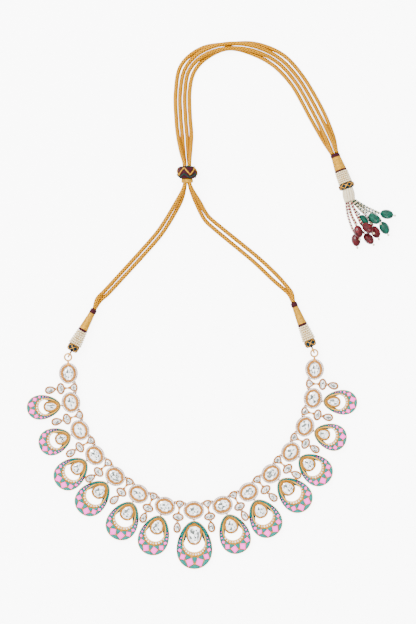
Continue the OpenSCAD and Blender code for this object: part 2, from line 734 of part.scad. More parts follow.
module at_bead(row) {
    translate(row[BEAD]) rotate(row[TURN]) rotate([0, 90, 0]) children();
}
function bead_side(row, s) = row[BEAD] + s * [cos(row[TURN]), sin(row[TURN]), 0];

// A carved bead: ribbed rings from one end to the other, then back along the bore
module melon_bead(l, d, bore) {
    n = 2 * bead_ribs;
    ends = asin(bore / d) + 4;
    steps = 7;
    outer = [for (j = [0 : steps]) let (a = ends + (180 - 2 * ends) * j / steps)
        [for (i = [0 : n - 1]) let (r = d / 2 * sin(a) * (1 - rib_depth * (i % 2) * sin(a)))
            [r * cos(360 * i / n), r * sin(360 * i / n), -l / 2 * cos(a)]]];
    reach = -outer[0][0][2];
    inner = [for (z = [reach, -reach]) [for (i = [0 : n - 1])
        [bore / 2 * cos(360 * i / n), bore / 2 * sin(360 * i / n), z]]];
    rings = concat(outer, inner);
    m = len(rings);
    polyhedron(
        points = [for (r = rings) for (p = r) p],
        faces = [for (j = [0 : m - 1]) for (i = [0 : n - 1]) each [
            [j * n + i, ((j + 1) % m) * n + i, ((j + 1) % m) * n + (i + 1) % n],
            [j * n + i, ((j + 1) % m) * n + (i + 1) % n, j * n + (i + 1) % n]
        ]]
    );
}

module ruby_beads() {
    color("#a8323f") for (row = ruby_table) at_bead(row) melon_bead(ruby_l, ruby_d, bead_bore);
}

module emerald_beads() {
    color("#157f66") for (row = emerald_table) at_bead(row) melon_bead(emerald_l, emerald_d, bead_bore);
}

module link_balls(p, d) {
    for (i = [0 : len(p) - 2]) hull() {
        translate(p[i]) sphere(d = d, $fn = 6);
        translate(p[i + 1]) sphere(d = d, $fn = 6);
    }
}

// One string: seed beads up to the bead, then a bare thread through it to a stop bead
module bead_string(row, l) {
    near = bead_side(row, -l / 2 - string_d / 2 - fit_gap);
    far = bead_side(row, l / 2 + stop_d / 2 + fit_gap);
    link_balls(concat(row[VIA], [near]), string_d);
    link_balls([near, far], thread_d);
    translate(far) sphere(d = stop_d, $fn = 12);
}

module tassel_strings() {
    color("#ded6c6") {
        hull() {
            on_tassel(bundle_at) cylinder(d = bundle_d, h = 0.2, $fn = 20);
            along(bundle_end, tassel_turn, -8) cylinder(d = bundle_d, h = 0.2, $fn = 20);
        }
        for (row = ruby_table) bead_string(row, ruby_l);
        for (row = emerald_table) bead_string(row, emerald_l);
    }
}

function numbered(word, count) = [for (i = [1 : count]) str(word, i < 10 ? "0" : "", i)];
oval_names = numbered("oval_link_", 2 * last + 1);
drop_names = numbered("drop_frame_", 2 * last - 1);
strand_names = ["cord_left_outer", "cord_left_inner", "cord_right_outer", "cord_right_inner"];

for (i = [0 : len(oval_names) - 1]) oval_link(i);
for (i = [0 : len(drop_names) - 1]) drop_frame(i);
oval_stones();
drop_stones();
connector_links();
connector_stones();
pear_settings();
pear_stones();
for (i = [0 : len(strand_names) - 1]) cord_strand(i);
slider();
slider_wrap();
cord_loop(true);  // left_loop
cord_knob(true);  // left_knob
bead_sleeve(true);  // left_sleeve
thread_cone(true);  // left_cone
cord_ties(true);  // left_ties
cord_loop(false);  // right_loop
cord_knob(false);  // right_knob
bead_sleeve(false);  // right_sleeve
thread_cone(false);  // right_cone
cord_ties(false);  // right_ties
tassel_ties();
tassel_cone();
tassel_sleeve();
tassel_turban();
tassel_strings();
ruby_beads();
emerald_beads();
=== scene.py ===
# %% [markdown]
# # Dressing a kundan collar
#
# Kundan jewellery sets flat-backed stones in gold over bright foil, with enamel beside them. This collar has
# ovals with halos of small stones, small cut stones between them, and enamelled drops. It hangs on a gold
# cord with a slider and a bead tassel. The solids are already packed; this lesson gives them their finish,
# and adds what is too fine for solids, such as the small stones, the enamel's cells and the seed beads.

# %% Load the solids and note their size
import json
import math
from collections import namedtuple
import bpy
from mathutils import Matrix, Vector
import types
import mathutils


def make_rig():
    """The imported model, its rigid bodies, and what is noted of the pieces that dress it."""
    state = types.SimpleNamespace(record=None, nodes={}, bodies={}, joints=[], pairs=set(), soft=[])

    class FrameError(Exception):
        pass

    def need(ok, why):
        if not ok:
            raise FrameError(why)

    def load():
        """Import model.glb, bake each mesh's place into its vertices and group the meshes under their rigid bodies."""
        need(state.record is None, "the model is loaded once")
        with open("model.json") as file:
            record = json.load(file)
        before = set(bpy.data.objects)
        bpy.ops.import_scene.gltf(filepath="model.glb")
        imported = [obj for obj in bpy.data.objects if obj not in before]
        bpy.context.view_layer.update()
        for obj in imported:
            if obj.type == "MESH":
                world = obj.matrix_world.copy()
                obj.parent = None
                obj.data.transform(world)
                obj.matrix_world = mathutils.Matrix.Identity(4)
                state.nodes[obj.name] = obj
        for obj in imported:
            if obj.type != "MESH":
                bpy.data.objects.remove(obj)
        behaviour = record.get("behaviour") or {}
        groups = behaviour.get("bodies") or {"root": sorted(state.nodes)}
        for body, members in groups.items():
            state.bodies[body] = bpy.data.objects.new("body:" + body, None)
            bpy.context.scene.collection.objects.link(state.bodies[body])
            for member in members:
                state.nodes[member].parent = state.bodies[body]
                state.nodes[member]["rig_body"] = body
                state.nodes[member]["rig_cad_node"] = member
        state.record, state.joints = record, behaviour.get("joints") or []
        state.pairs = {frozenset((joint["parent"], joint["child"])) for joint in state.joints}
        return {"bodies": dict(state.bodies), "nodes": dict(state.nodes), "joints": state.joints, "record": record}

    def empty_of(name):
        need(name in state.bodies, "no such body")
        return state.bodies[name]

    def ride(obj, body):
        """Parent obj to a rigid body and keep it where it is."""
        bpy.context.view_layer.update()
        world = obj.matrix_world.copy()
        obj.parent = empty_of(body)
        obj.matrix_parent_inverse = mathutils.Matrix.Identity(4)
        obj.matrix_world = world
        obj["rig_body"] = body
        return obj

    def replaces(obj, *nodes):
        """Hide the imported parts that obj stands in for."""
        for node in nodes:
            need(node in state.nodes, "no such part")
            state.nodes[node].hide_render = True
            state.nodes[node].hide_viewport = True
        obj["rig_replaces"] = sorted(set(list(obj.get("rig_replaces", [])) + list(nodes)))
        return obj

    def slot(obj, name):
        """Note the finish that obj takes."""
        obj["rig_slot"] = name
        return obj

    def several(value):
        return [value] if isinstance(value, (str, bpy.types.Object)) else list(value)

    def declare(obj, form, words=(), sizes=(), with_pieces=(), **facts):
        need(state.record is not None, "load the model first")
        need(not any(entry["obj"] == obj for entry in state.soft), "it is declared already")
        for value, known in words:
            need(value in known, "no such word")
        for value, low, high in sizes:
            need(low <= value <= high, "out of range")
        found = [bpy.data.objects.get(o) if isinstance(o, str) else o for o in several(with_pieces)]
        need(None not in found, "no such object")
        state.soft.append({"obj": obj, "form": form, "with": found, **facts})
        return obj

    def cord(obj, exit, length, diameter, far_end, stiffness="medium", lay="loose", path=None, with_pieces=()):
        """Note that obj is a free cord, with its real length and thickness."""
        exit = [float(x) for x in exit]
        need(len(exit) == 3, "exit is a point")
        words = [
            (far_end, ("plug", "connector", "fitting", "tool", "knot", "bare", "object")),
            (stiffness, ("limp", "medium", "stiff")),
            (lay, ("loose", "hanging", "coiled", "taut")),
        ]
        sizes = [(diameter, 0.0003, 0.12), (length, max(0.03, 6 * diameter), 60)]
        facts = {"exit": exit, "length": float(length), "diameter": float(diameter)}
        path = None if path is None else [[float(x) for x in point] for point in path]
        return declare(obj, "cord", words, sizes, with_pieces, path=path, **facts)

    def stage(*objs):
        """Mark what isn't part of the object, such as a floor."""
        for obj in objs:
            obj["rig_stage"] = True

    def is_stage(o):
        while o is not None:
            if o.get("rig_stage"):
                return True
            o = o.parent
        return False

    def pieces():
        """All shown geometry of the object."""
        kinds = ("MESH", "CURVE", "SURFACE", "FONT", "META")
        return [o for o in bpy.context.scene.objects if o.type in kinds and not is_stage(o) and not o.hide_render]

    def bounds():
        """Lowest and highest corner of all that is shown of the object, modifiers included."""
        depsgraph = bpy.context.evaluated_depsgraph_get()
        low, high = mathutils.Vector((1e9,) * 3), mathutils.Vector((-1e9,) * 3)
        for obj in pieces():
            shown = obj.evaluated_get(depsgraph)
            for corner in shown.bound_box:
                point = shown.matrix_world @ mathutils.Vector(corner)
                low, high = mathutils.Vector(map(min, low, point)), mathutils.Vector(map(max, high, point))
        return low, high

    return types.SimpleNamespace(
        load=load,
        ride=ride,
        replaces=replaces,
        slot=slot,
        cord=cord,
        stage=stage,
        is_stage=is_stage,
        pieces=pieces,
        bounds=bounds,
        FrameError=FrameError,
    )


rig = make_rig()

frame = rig.load()
cad_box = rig.bounds()
nodes = frame["nodes"]
print("solids:", len(nodes))

# %% [markdown]
# The photo looks straight down. A long lens far away keeps the necklace free of perspective. The photo is
# turned by about one degree, so the camera rolls by as much. A picture of 416 by 624 pixels covers
# 237 by 356 millimetres here.

# %% Place the camera
MM = 0.001
SENSOR = 36
PICTURE_H = 355.7 * MM
CAMERA_H = 1.6
VIEW_MIDDLE = (9.96 * MM, 84.1 * MM)
ROLL = -0.95
camera_data = bpy.data.cameras.new("photo_camera")
camera_data.sensor_width = SENSOR
camera_data.lens = SENSOR * CAMERA_H / PICTURE_H
camera_data.clip_start = 0.05
camera = bpy.data.objects.new("photo_camera", camera_data)
camera.location = (*VIEW_MIDDLE, CAMERA_H)
camera.rotation_euler = (0, 0, math.radians(ROLL))
bpy.context.scene.collection.objects.link(camera)
bpy.context.scene.camera = camera
print("lens", round(camera_data.lens, 1), "mm")

# %% [markdown]
# Colours are easiest to judge as sRGB hex values, as a paint program shows them, but shaders work in linear
# light. One function turns one into the other. The others add a node with its settings, a sum, noise, a
# colour ramp and bump.

# %% Colour and node helpers
def linear(code):
    """An sRGB hex colour as linear RGBA."""
    out = []
    for i in (0, 2, 4):
        c = int(code[i:i + 2], 16) / 255
        out.append(c / 12.92 if c <= 0.04045 else ((c + 0.055) / 1.055) ** 2.4)
    return (*out, 1)


def add(tree, kind, inputs=None, **settings):
    """Adds a node. A value in inputs is a constant, or the output socket that feeds it."""
    node = tree.nodes.new(kind)
    for name, value in settings.items():
        setattr(node, name, value)
    for key, value in (inputs or {}).items():
        if isinstance(value, bpy.types.NodeSocket):
            tree.links.new(value, node.inputs[key])
        else:
            node.inputs[key].default_value = value
    return node


def compute(tree, operation, *values):
    """The output of a math node."""
    return add(tree, "ShaderNodeMath", dict(enumerate(values)), operation=operation).outputs[0]


def noise(tree, scale, detail, distortion=0.0):
    """Noise in the object's space, with patches about 1 / scale metres apart."""
    place = add(tree, "ShaderNodeTexCoord").outputs["Object"]
    sockets = {"Vector": place, "Scale": scale, "Detail": detail, "Distortion": distortion}
    return add(tree, "ShaderNodeTexNoise", sockets).outputs["Fac"]


def ramp(tree, factor, stops):
    """A colour ramp from (place, hex colour) pairs."""
    node = add(tree, "ShaderNodeValToRGB", {"Fac": factor})
    while len(node.color_ramp.elements) < len(stops):
        node.color_ramp.elements.new(0.5)
    for element, (place, code) in zip(node.color_ramp.elements, stops):
        element.position = place
        element.color = linear(code)
    return node.outputs["Color"]


def feed(tree, output, shader, *names):
    """Links one output to the shader's inputs of these names."""
    for name in names:
        tree.links.new(output, shader.inputs[name])


def emboss(tree, shader, height, strength, distance):
    """Bump, where a height of 1 stands out by distance in metres."""
    bump = add(tree, "ShaderNodeBump", {"Height": height, "Strength": strength, "Distance": distance})
    feed(tree, bump.outputs["Normal"], shader, "Normal")


def finish_named(name, **sockets):
    """A new material with a Principled shader, and its tree and shader."""
    made = bpy.data.materials.new(name)
    made.use_nodes = True
    shader = made.node_tree.nodes["Principled BSDF"]
    for key, value in sockets.items():
        shader.inputs[key.replace("_", " ")].default_value = value
    return made, made.node_tree, shader


print("gold in linear light:", [round(c, 3) for c in linear("D9A66A")])

# %% [markdown]
# ## Finishes
#
# Rose gold is gold with copper in it. It is cast, filed and polished, so it is smooth with faint ripples.
# The colour is painted darker brown in corners under about 1 mm wide, by how closed in a point is: this is
# painted shade. Wear shows as a slow change of roughness a few millimetres wide. The enamelled drops have a
# yellower gold. A metal keeps its default IOR, and its colour is its reflection.

# %% Rose gold and yellow gold
def polished_gold(name, light, dark, roughness):
    """Polished gold: bright where it is open, with painted shade that darkens corners under 1 mm wide."""
    made, tree, shader = finish_named(name, Metallic=1.0)
    corner = {"Distance": 0.9 * MM}
    # Painted shade: the base colour darkens where the occlusion node finds a corner.
    open_sky = add(tree, "ShaderNodeAmbientOcclusion", corner, samples=6).outputs["AO"]
    bright = compute(tree, "MULTIPLY", open_sky, 0.75)
    tone = compute(tree, "MULTIPLY_ADD", noise(tree, 500.0, 3.0), 0.5, bright)
    feed(tree, ramp(tree, tone, [(0.62, dark), (1.0, light)]), shader, "Base Color")
    wear = {"Value": noise(tree, 260.0, 4.0), "From Min": 0.3, "From Max": 0.7,
            "To Min": roughness * 0.8, "To Max": roughness * 1.35}
    feed(tree, add(tree, "ShaderNodeMapRange", wear).outputs["Result"], shader, "Roughness")
    emboss(tree, shader, noise(tree, 1400.0, 2.0), 0.25, 0.1 * MM)
    return made


rose_gold = polished_gold("rose gold, polished", "D08E42", "6A3A12", 0.28)
yellow_gold = polished_gold("yellow gold, polished", "E6A83C", "74460A", 0.28)
granulated_gold = polished_gold("yellow gold, granulated", "D08A28", "5C3406", 0.34)
print(rose_gold.name, "and", yellow_gold.name, "and", granulated_gold.name)

# %% [markdown]
# A foil-backed stone is glass or crystal over silver foil. The light goes in, meets the foil and comes
# back, so each facet is bright or grey by its own slope and none shows what is behind it. Real glass over
# foil would need a path for every bounce. Here each facet takes a grey from its own normal, a painted
# reflection under a clear gloss, and glows a little in that grey, a painted glow for the light that foil
# gathers from all round and sends up. The painted greys are darkest in the middle, where the eye looks
# straight in and sees itself, and facets near the rim are painted brighter. The mesh says how far in a facet
# lies, from 0 at the rim to 1, in an attribute called depth.

# %% Foil-backed stone
def foiled_stone(name, stops, sparkle, rim_light, foil):
    """Painted reflections: each facet takes a grey from its own direction, rim_light paints those near the rim
    brighter, and the grey also glows.
    """
    # Emission_Strength makes each facet glow in its own grey: a painted glow.
    made, tree, shader = finish_named(name, Roughness=0.1, IOR=1.54, Metallic=foil, Coat_Weight=0.5,
                                      Coat_Roughness=0.03, Emission_Strength=1.6)
    facet = add(tree, "ShaderNodeNewGeometry").outputs["True Normal"]
    steps = add(tree, "ShaderNodeVectorMath", {0: facet, 1: (sparkle,) * 3}, operation="MULTIPLY")
    whole = add(tree, "ShaderNodeVectorMath", {0: steps.outputs[0]}, operation="FLOOR")
    chance = add(tree, "ShaderNodeTexWhiteNoise", {"Vector": whole.outputs[0]}, noise_dimensions="3D")
    depth = add(tree, "ShaderNodeAttribute", attribute_name="depth").outputs["Fac"]
    rim = compute(tree, "MULTIPLY_ADD", depth, -rim_light, rim_light)
    shade = compute(tree, "ADD", chance.outputs["Value"], rim)
    feed(tree, ramp(tree, shade, stops), shader, "Base Color", "Emission Color")
    return made


greys = [(0.0, "262A28"), (0.5, "646A66"), (0.64, "D2D5D3"), (0.78, "FFFFFF")]
crystal = foiled_stone("crystal over silver foil", greys, 40.0, 0.62, 0.5)
warm_greys = [(0.0, "9A7C6C"), (0.3, "CDB9AC"), (0.6, "F4ECE4"), (0.8, "FFFFFF")]
small_crystal = foiled_stone("small crystals over foil", warm_greys, 6.0, 0.0, 0.1)
print(crystal.name, "and", small_crystal.name)

# %% [markdown]
# Kundan drops are filled with enamel, a coloured glass melted into cells of gold. It is glossy, a little
# cloudy, and it shades off towards the edge of its cell. The cells are real pieces below, so the finish
# needs only the slow clouding, about 1.5 mm wide, and a soft dip and rise of the surface.

# %% Enamel
def fired_enamel(name, pale, deep, glow=0.0):
    """Glass enamel, cloudy over about 1.5 mm. glow is a painted glow in the enamel's own colour, for the light that
    comes back from the gold below.
    """
    made, tree, shader = finish_named(name, Roughness=0.3, IOR=1.52, Specular_IOR_Level=0.12,
                                      Coat_Weight=0.05, Coat_Roughness=0.05, Emission_Strength=glow)
    colour = ramp(tree, noise(tree, 700.0, 3.0), [(0.3, deep), (0.68, pale)])
    feed(tree, colour, shader, "Base Color", "Emission Color")
    emboss(tree, shader, noise(tree, 900.0, 1.0), 0.2, 0.1 * MM)
    return made


# The turquoise and pink enamels glow in their own colour: painted light that brightens them.
turquoise_enamel = fired_enamel("turquoise enamel", "008C82", "006E66", 0.22)
pink_enamel = fired_enamel("pink enamel", "FF5CCB", "FF40BE", 1.6)
green_enamel = fired_enamel("dark green enamel", "125450", "0A2C34")
navy_enamel = fired_enamel("navy enamel", "0A2A38", "05141C")
print("enamels:", turquoise_enamel.name, pink_enamel.name, green_enamel.name, navy_enamel.name)

# %% [markdown]
# Thread and cord are fibre: rough, with little gloss. The cord is zari, a thin flat metal strip wound on a
# core and braided, so it glints as well. A braid's two sets of strips cross at an angle, and a pattern on
# the piece's own UV map follows the cord round every bend. The map's u goes once round and its v counts
# millimetres. The strips are 0.8 mm wide, as coarse as they need to be to show in the picture.

# %% Braided zari and wound thread
STRIPS = 4


def braided(name, light, dark, pitch):
    """Two sets of strips cross each other; pitch is the length in mm of one crossing."""
    made, tree, shader = finish_named(name, Metallic=0.7, Roughness=0.45, Specular_IOR_Level=0.15)
    place = add(tree, "ShaderNodeUVMap").outputs["UV"]
    parts = add(tree, "ShaderNodeSeparateXYZ", {"Vector": place}).outputs
    around = compute(tree, "MULTIPLY", parts["X"], STRIPS * math.tau)
    along = compute(tree, "MULTIPLY", parts["Y"], math.tau / pitch)
    waves = [compute(tree, "SINE", compute(tree, way, around, along)) for way in ("ADD", "SUBTRACT")]
    over = compute(tree, "MAXIMUM", *waves)
    mixed = compute(tree, "MULTIPLY_ADD", noise(tree, 2500.0, 2.0), 0.7, over)
    # The base colour is painted darker where both sets of strips lie low: painted shade in the braid's gaps.
    feed(tree, ramp(tree, mixed, [(0.0, dark), (0.95, light)]), shader, "Base Color")
    emboss(tree, shader, over, 0.8, 0.2 * MM)
    return made


def wound_thread(name, light, dark, metallic=0.0):
    """Thread: streaks of light and dark fibre, finer than the turns, which are real ridges."""
    made, tree, shader = finish_named(name, Metallic=metallic, Roughness=0.6, Specular_IOR_Level=0.15)
    fibre = noise(tree, 1800.0, 4.0)
    feed(tree, ramp(tree, fibre, [(0.32, dark), (0.68, light)]), shader, "Base Color")
    emboss(tree, shader, fibre, 0.5, 0.1 * MM)
    return made


zari_braid = braided("braided zari", "E29C06", "744804", 1.6)
gold_thread = wound_thread("gold thread, wound", "F0B42C", "9A6A12", metallic=0.5)
maroon_thread = wound_thread("maroon thread, wound", "480C1C", "220510")
green_thread = wound_thread("green thread", "0E4A40", "062622")
cream_thread = wound_thread("cream silk", "FFF4DC", "E6D0A4")
print("threads:", zari_braid.name, gold_thread.name, maroon_thread.name, cream_thread.name)

# %% [markdown]
# Seed beads are small drawn glass beads, opaque and tumbled smooth. The ruby and emerald beads are carved
# from cloudy stone and waxed: light goes a little way in, and veins run through them a millimetre apart.

# %% Glass seed beads and carved stone
def seed_glass(name, pale, deep):
    """Opaque glass, each bead a little different from the next."""
    made, tree, shader = finish_named(name, Roughness=0.22, IOR=1.5, Specular_IOR_Level=0.3,
                                      Coat_Weight=0.15, Coat_Roughness=0.1)
    feed(tree, ramp(tree, noise(tree, 900.0, 1.0), [(0.35, deep), (0.65, pale)]), shader, "Base Color")
    return made


def carved_stone(name, pale, mid, deep):
    """Cloudy precious stone with veins about 1 mm apart."""
    made, tree, shader = finish_named(name, Roughness=0.22, IOR=1.58, Specular_IOR_Level=0.2,
                                      Coat_Weight=0.15, Coat_Roughness=0.06, Subsurface_Weight=0.05,
                                      Subsurface_Scale=MM)
    vein = noise(tree, 650.0, 5.0, 0.8)
    feed(tree, ramp(tree, vein, [(0.28, deep), (0.5, mid), (0.74, pale)]), shader, "Base Color")
    emboss(tree, shader, vein, 0.15, 0.2 * MM)
    return made


white_seed = seed_glass("white seed glass", "FFF2D0", "E8CF98")
maroon_seed = seed_glass("maroon seed glass", "900A30", "5A0420")
green_seed = seed_glass("green seed glass", "0C4A34", "062A1C")
ruby = carved_stone("carved ruby", "780C1A", "4E0812", "2A050A")
emerald = carved_stone("carved emerald", "006C54", "004A3A", "00281E")
print("beads:", white_seed.name, maroon_seed.name, green_seed.name, ruby.name, emerald.name)

# %% [markdown]
# ## The cord
#
# Four strands of braided cord run from the two ends, through the slider and over an arch to the tassel.
# Each follows the points of its solid. A curve with short handles at each point bends softly there and
# stays straight between, so the strands stay clear of each other. The tube is built ring by ring, with its
# own UV map.

# %% Tubes along a route
def circle(count):
    """The cosine and sine of each of count equal steps round a circle."""
    return [(math.cos(math.tau * i / count), math.sin(math.tau * i / count)) for i in range(count)]


def at(where, x, y, z):
    """The point in metres whose place in the frame where is given in mm."""
    return where @ Vector((x * MM, y * MM, z * MM))


def smooth_route(points, step):
    """Points about one step apart on a curve that bends softly at each given point."""
    count = len(points)
    ways = [(points[min(i + 1, count - 1)] - points[max(i - 1, 0)]).normalized() for i in range(count)]
    route = []
    for i in range(count - 1):
        a, b = points[i], points[i + 1]
        reach = (b - a).length / 3
        before = (a - points[i - 1]).length / 3 if i else reach
        after = (points[i + 2] - b).length / 3 if i + 2 < count else reach
        h1 = a + ways[i] * min(reach, before)
        h2 = b - ways[i + 1] * min(reach, after)
        pieces = max(2, round((b - a).length / step))
        for j in range(pieces):
            t = j / pieces
            u = 1 - t
            route.append(a * u ** 3 + h1 * 3 * t * u ** 2 + h2 * 3 * t * t * u + b * t ** 3)
    return [*route, points[-1]]


def mesh_piece(name, verts, faces, material, uvs=None, smooth=True):
    """A mesh object at the origin, its place in its mesh, with its material and perhaps UVs by corner."""
    mesh = bpy.data.meshes.new(name)
    mesh.from_pydata(verts, [], faces, shade_flat=not smooth)
    mesh.materials.append(material)
    if uvs:
        layer = mesh.uv_layers.new(name="UVMap")
        for corner, uv in enumerate(uvs):
            layer.data[corner].uv = uv
    piece = bpy.data.objects.new(name, mesh)
    bpy.context.scene.collection.objects.link(piece)
    return piece


def ring_faces(count, sides, closed=False):
    """Quads from each of count rings of points to the next, and from the last to the first if closed."""
    return [(j * sides + i, j * sides + (i + 1) % sides,
             (j + 1) % count * sides + (i + 1) % sides, (j + 1) % count * sides + i)
            for j in range(count if closed else count - 1) for i in range(sides)]


def rings_piece(name, rings, lengths, material):
    """A tube through rings of points, capped at its ends. UV u goes once round, v is the length in mm."""
    sides, last = len(rings[0]), (len(rings) - 1) * len(rings[0])
    verts = [p for ring in rings for p in ring]
    caps = [tuple(reversed(range(sides))), tuple(last + i for i in range(sides))]
    uvs = []
    for v0, v1 in zip(lengths, lengths[1:]):
        for i in range(sides):
            u0, u1 = i / sides, (i + 1) / sides
            uvs += [(u0, v0), (u1, v0), (u1, v1), (u0, v1)]
    uvs += [(0, 0)] * (2 * sides)
    return mesh_piece(name, verts, ring_faces(len(rings), sides) + caps, material, uvs)


def tube(name, route, radius, sides, material):
    """A round tube of one radius along a route, and its length in metres."""
    rings, lengths, far = [], [], 0
    for i, p in enumerate(route):
        way = (route[min(i + 1, len(route) - 1)] - route[max(i - 1, 0)]).normalized()
        side = Vector((0, 0, 1)).cross(way).normalized()
        up = way.cross(side)
        rings.append([p + radius * (c * side + s * up) for c, s in circle(sides)])
        far += (p - route[i - 1]).length if i else 0
        lengths.append(far / MM)
    return rings_piece(name, rings, lengths, material), far


def dress(piece, slot, *stands_for):
    """The piece rides on the necklace, names its record slot, and stands for the nodes given."""
    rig.ride(piece, "root")
    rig.slot(piece, slot)
    if stands_for:
        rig.replaces(piece, *stands_for)
    print(piece.name, len(piece.data.polygons), "faces")
    return piece


# %% Lay the four strands
STRAND_D = 2.4 * MM
strand_routes = {
    "cord_left_outer": [
        (-54.7, 86.8, 3.7), (-52.9, 92.7, 3.4), (-48.3, 97.5, 1.3), (-19, 129, 1.2), (-6.6, 147.7, 3.9),
        (-1.9, 157, 7.15), (-1.9, 167.5, 7.15), (-3.9, 176, 5), (-5.5, 185, 2.6), (-6.3, 195, 1.2),
        (-6.4, 209, 1.2), (-3.1, 224.6, 1.2), (8.5, 234.2, 1.2), (24, 236.5, 1.2), (40, 236.3, 1.2),
        (55.5, 229.5, 1.2), (67.3, 215.7, 1.2), (77.7, 196.8, 1.2), (83.1, 182.6, 1.2), (84.7, 173.4, 1.3)],
    "cord_left_inner": [
        (-54.7, 86.8, 1.2), (-51.3, 91.6, 1.2), (-46.5, 95.7, 1.2), (-17, 127.3, 1.2), (-4.9, 146.3, 1.4),
        (-1.9, 157, 4.55), (-1.9, 167.5, 4.55), (-2.5, 176, 2.6), (-3, 185, 1.4), (-3.7, 195, 1.2),
        (-3.8, 209, 1.2), (-0.6, 223.2, 1.2), (9.4, 232.6, 3.4), (24, 236.5, 3.7), (39.4, 234.6, 3.4),
        (53.8, 227.3, 1.2), (65.1, 214.2, 1.2), (75.2, 195.6, 1.2), (81.4, 182, 3.4), (84.7, 173.4, 3.8)],
    "cord_right_outer": [
        (58.6, 88.7, 3.7), (57.5, 94.6, 3.4), (49.5, 104.5, 1.2), (37.5, 116, 1.2), (12, 137.5, 1.2),
        (6.2, 146.9, 3.9), (0.7, 157, 7.15), (0.7, 167.5, 7.15), (1.5, 176, 5), (2.2, 185, 2.6),
        (1.6, 195, 1.2), (1.5, 209, 1.2), (4.1, 220.5, 1.2), (11.6, 228.8, 1.2), (24, 233.9, 1.2),
        (38, 230.5, 1.2), (50.5, 223.1, 1.2), (60.7, 211.3, 1.2), (70.3, 193.2, 1.2), (77.3, 180.4, 1.2),
        (82.3, 172.6, 1.3)],
    "cord_right_inner": [
        (58.6, 88.7, 1.2), (55.9, 93.9, 1.2), (47.5, 101.5, 1.2), (35.5, 113.2, 1.2), (10.5, 134.8, 1.2),
        (4.6, 145.4, 1.4), (0.7, 157, 4.55), (0.7, 167.5, 4.55), (0.1, 176, 2.6), (-0.3, 185, 1.4),
        (-1, 195, 1.2), (-1.1, 209, 1.2), (1.6, 221.9, 1.2), (10.6, 230.4, 3.4), (24, 233.9, 3.7),
        (38.6, 232.2, 3.4), (52.2, 225.3, 1.2), (62.9, 212.8, 1.2), (72.8, 194.4, 1.2), (79, 181, 3.4),
        (82.3, 172.6, 3.8)],
}
strands = {}
for name, points in strand_routes.items():
    route = smooth_route([Vector(p) * MM for p in points], 1.2 * MM)
    strand, length = tube(name + "_braid", route, STRAND_D / 2, 12, zari_braid)
    strands[name] = (dress(strand, "gold_cord", name), route, length)
    print(name, round(length / MM, 1), "mm")

# %% [markdown]
# ## Wound fittings
#
# Knobs, ties, cones and the slider are cores wound with thread. Turned profiles would be smooth, so each
# ring here also rises and falls as the thread passes over it, and the ridge climbs one thread's width in
# each turn, as a real winding does.

# %% A wound core
RIDGE = 0.12


def local_frame(place, turn, rise):
    """A matrix whose Z runs along a fitting, given its start in mm and its directions in degrees."""
    return (Matrix.Translation(Vector(place) * MM) @ Matrix.Rotation(math.radians(turn), 4, "Z")
            @ Matrix.Rotation(math.radians(90 - rise), 4, "Y"))


def wound_core(name, where, profile, thread, material, sides=32):
    """profile is (length, width) or (length, height, width), and thread the thread's width, in mm."""
    profile = [(p[0], p[1], p[-1]) for p in profile]
    rings, lengths = [], []
    start, end = profile[0][0], profile[-1][0]
    count = max(3, round((end - start) / thread * 4))
    for j in range(count + 1):
        s = start + (end - start) * j / count
        a, b = next((a, b) for a, b in zip(profile, profile[1:]) if s <= b[0] + 1e-9)
        t = (s - a[0]) / (b[0] - a[0])
        high, wide = (a[i] + (b[i] - a[i]) * t for i in (1, 2))
        ring = []
        for i, (across, up) in enumerate(circle(sides)):
            climb = math.cos(math.tau * s / thread - math.tau * i / sides)
            ridge = 1 - RIDGE * thread * (1 + climb) / max(high, wide)
            ring.append(at(where, high / 2 * ridge * across, wide / 2 * ridge * up, s))
        rings.append(ring)
        lengths.append(s)
    return rings_piece(name, rings, lengths, material)


# %% [markdown]
# The chain's plan is worked out once more here, from the same few lengths and angles as the solids: fifteen
# ovals stand 16.6 mm apart on a line that turns a little at each one, and the drops hang below them.

# %% The chain's plan
PITCH = 16.6
CHAIN_TURNS = [9, 17, 12, 9, 13, 13, 13]
LAST = len(CHAIN_TURNS)
LAST_TURN = 4
HALO_L, HALO_W = 11.7, 10.5
BEZEL_L, BEZEL_W = 10.1, 8.3
DROP_L, DROP_W = 27.4, 20.6
DROP_GAP, EYE_R, EYE_WIRE = 0.9, 0.95, 0.65
# Length and width as shares of the centre drop, tilt and hang in degrees, the setting's length and width as
# shares of the drop's own, and its shape, from the centre drop outwards
Drop = namedtuple("Drop", "long wide tilt hang setting_l setting_w kind")
DROPS = [Drop(*row) for row in (
    (1.000, 1.000, 0.0, 0.0, 0.430, 0.495, "shield"),
    (0.845, 0.862, 18.5, 25.5, 0.405, 0.465, "egg"),
    (0.838, 0.885, 27.5, 36.5, 0.405, 0.455, "egg"),
    (0.832, 0.860, 45.0, 50.0, 0.400, 0.465, "egg"),
    (0.785, 0.825, 51.0, 59.0, 0.410, 0.470, "egg"),
    (0.693, 0.745, 71.0, 61.0, 0.420, 0.445, "egg"),
    (0.708, 0.690, 86.0, 72.0, 0.440, 0.455, "egg"),
)]


def drop_size(k):
    """The length and width of the k-th drop from the centre, in mm."""
    return DROP_L * DROPS[k].long, DROP_W * DROPS[k].wide


def unit(angle):
    return Vector((math.cos(math.radians(angle)), math.sin(math.radians(angle))))


def heading(k):
    return sum(CHAIN_TURNS[:k])


def station(k):
    """The middle of the k-th oval from the centre, on the right half."""
    return sum((PITCH * unit(heading(i)) for i in range(1, k + 1)), Vector((0, 0)))


def oval_angle(k):
    if k == 0:
        return 0
    return heading(LAST) + LAST_TURN if k == LAST else (heading(k) + heading(k + 1)) / 2


def drop_eye(k):
    """The middle of the eye that the k-th drop hangs on."""
    hang = DROPS[k].hang
    along = math.radians(hang - 90 - oval_angle(k))
    radius = 1 / math.hypot(2 * math.cos(along) / HALO_L, 2 * math.sin(along) / HALO_W)
    return station(k) + (radius + DROP_GAP + EYE_WIRE / 2 - EYE_R) * unit(hang - 90)


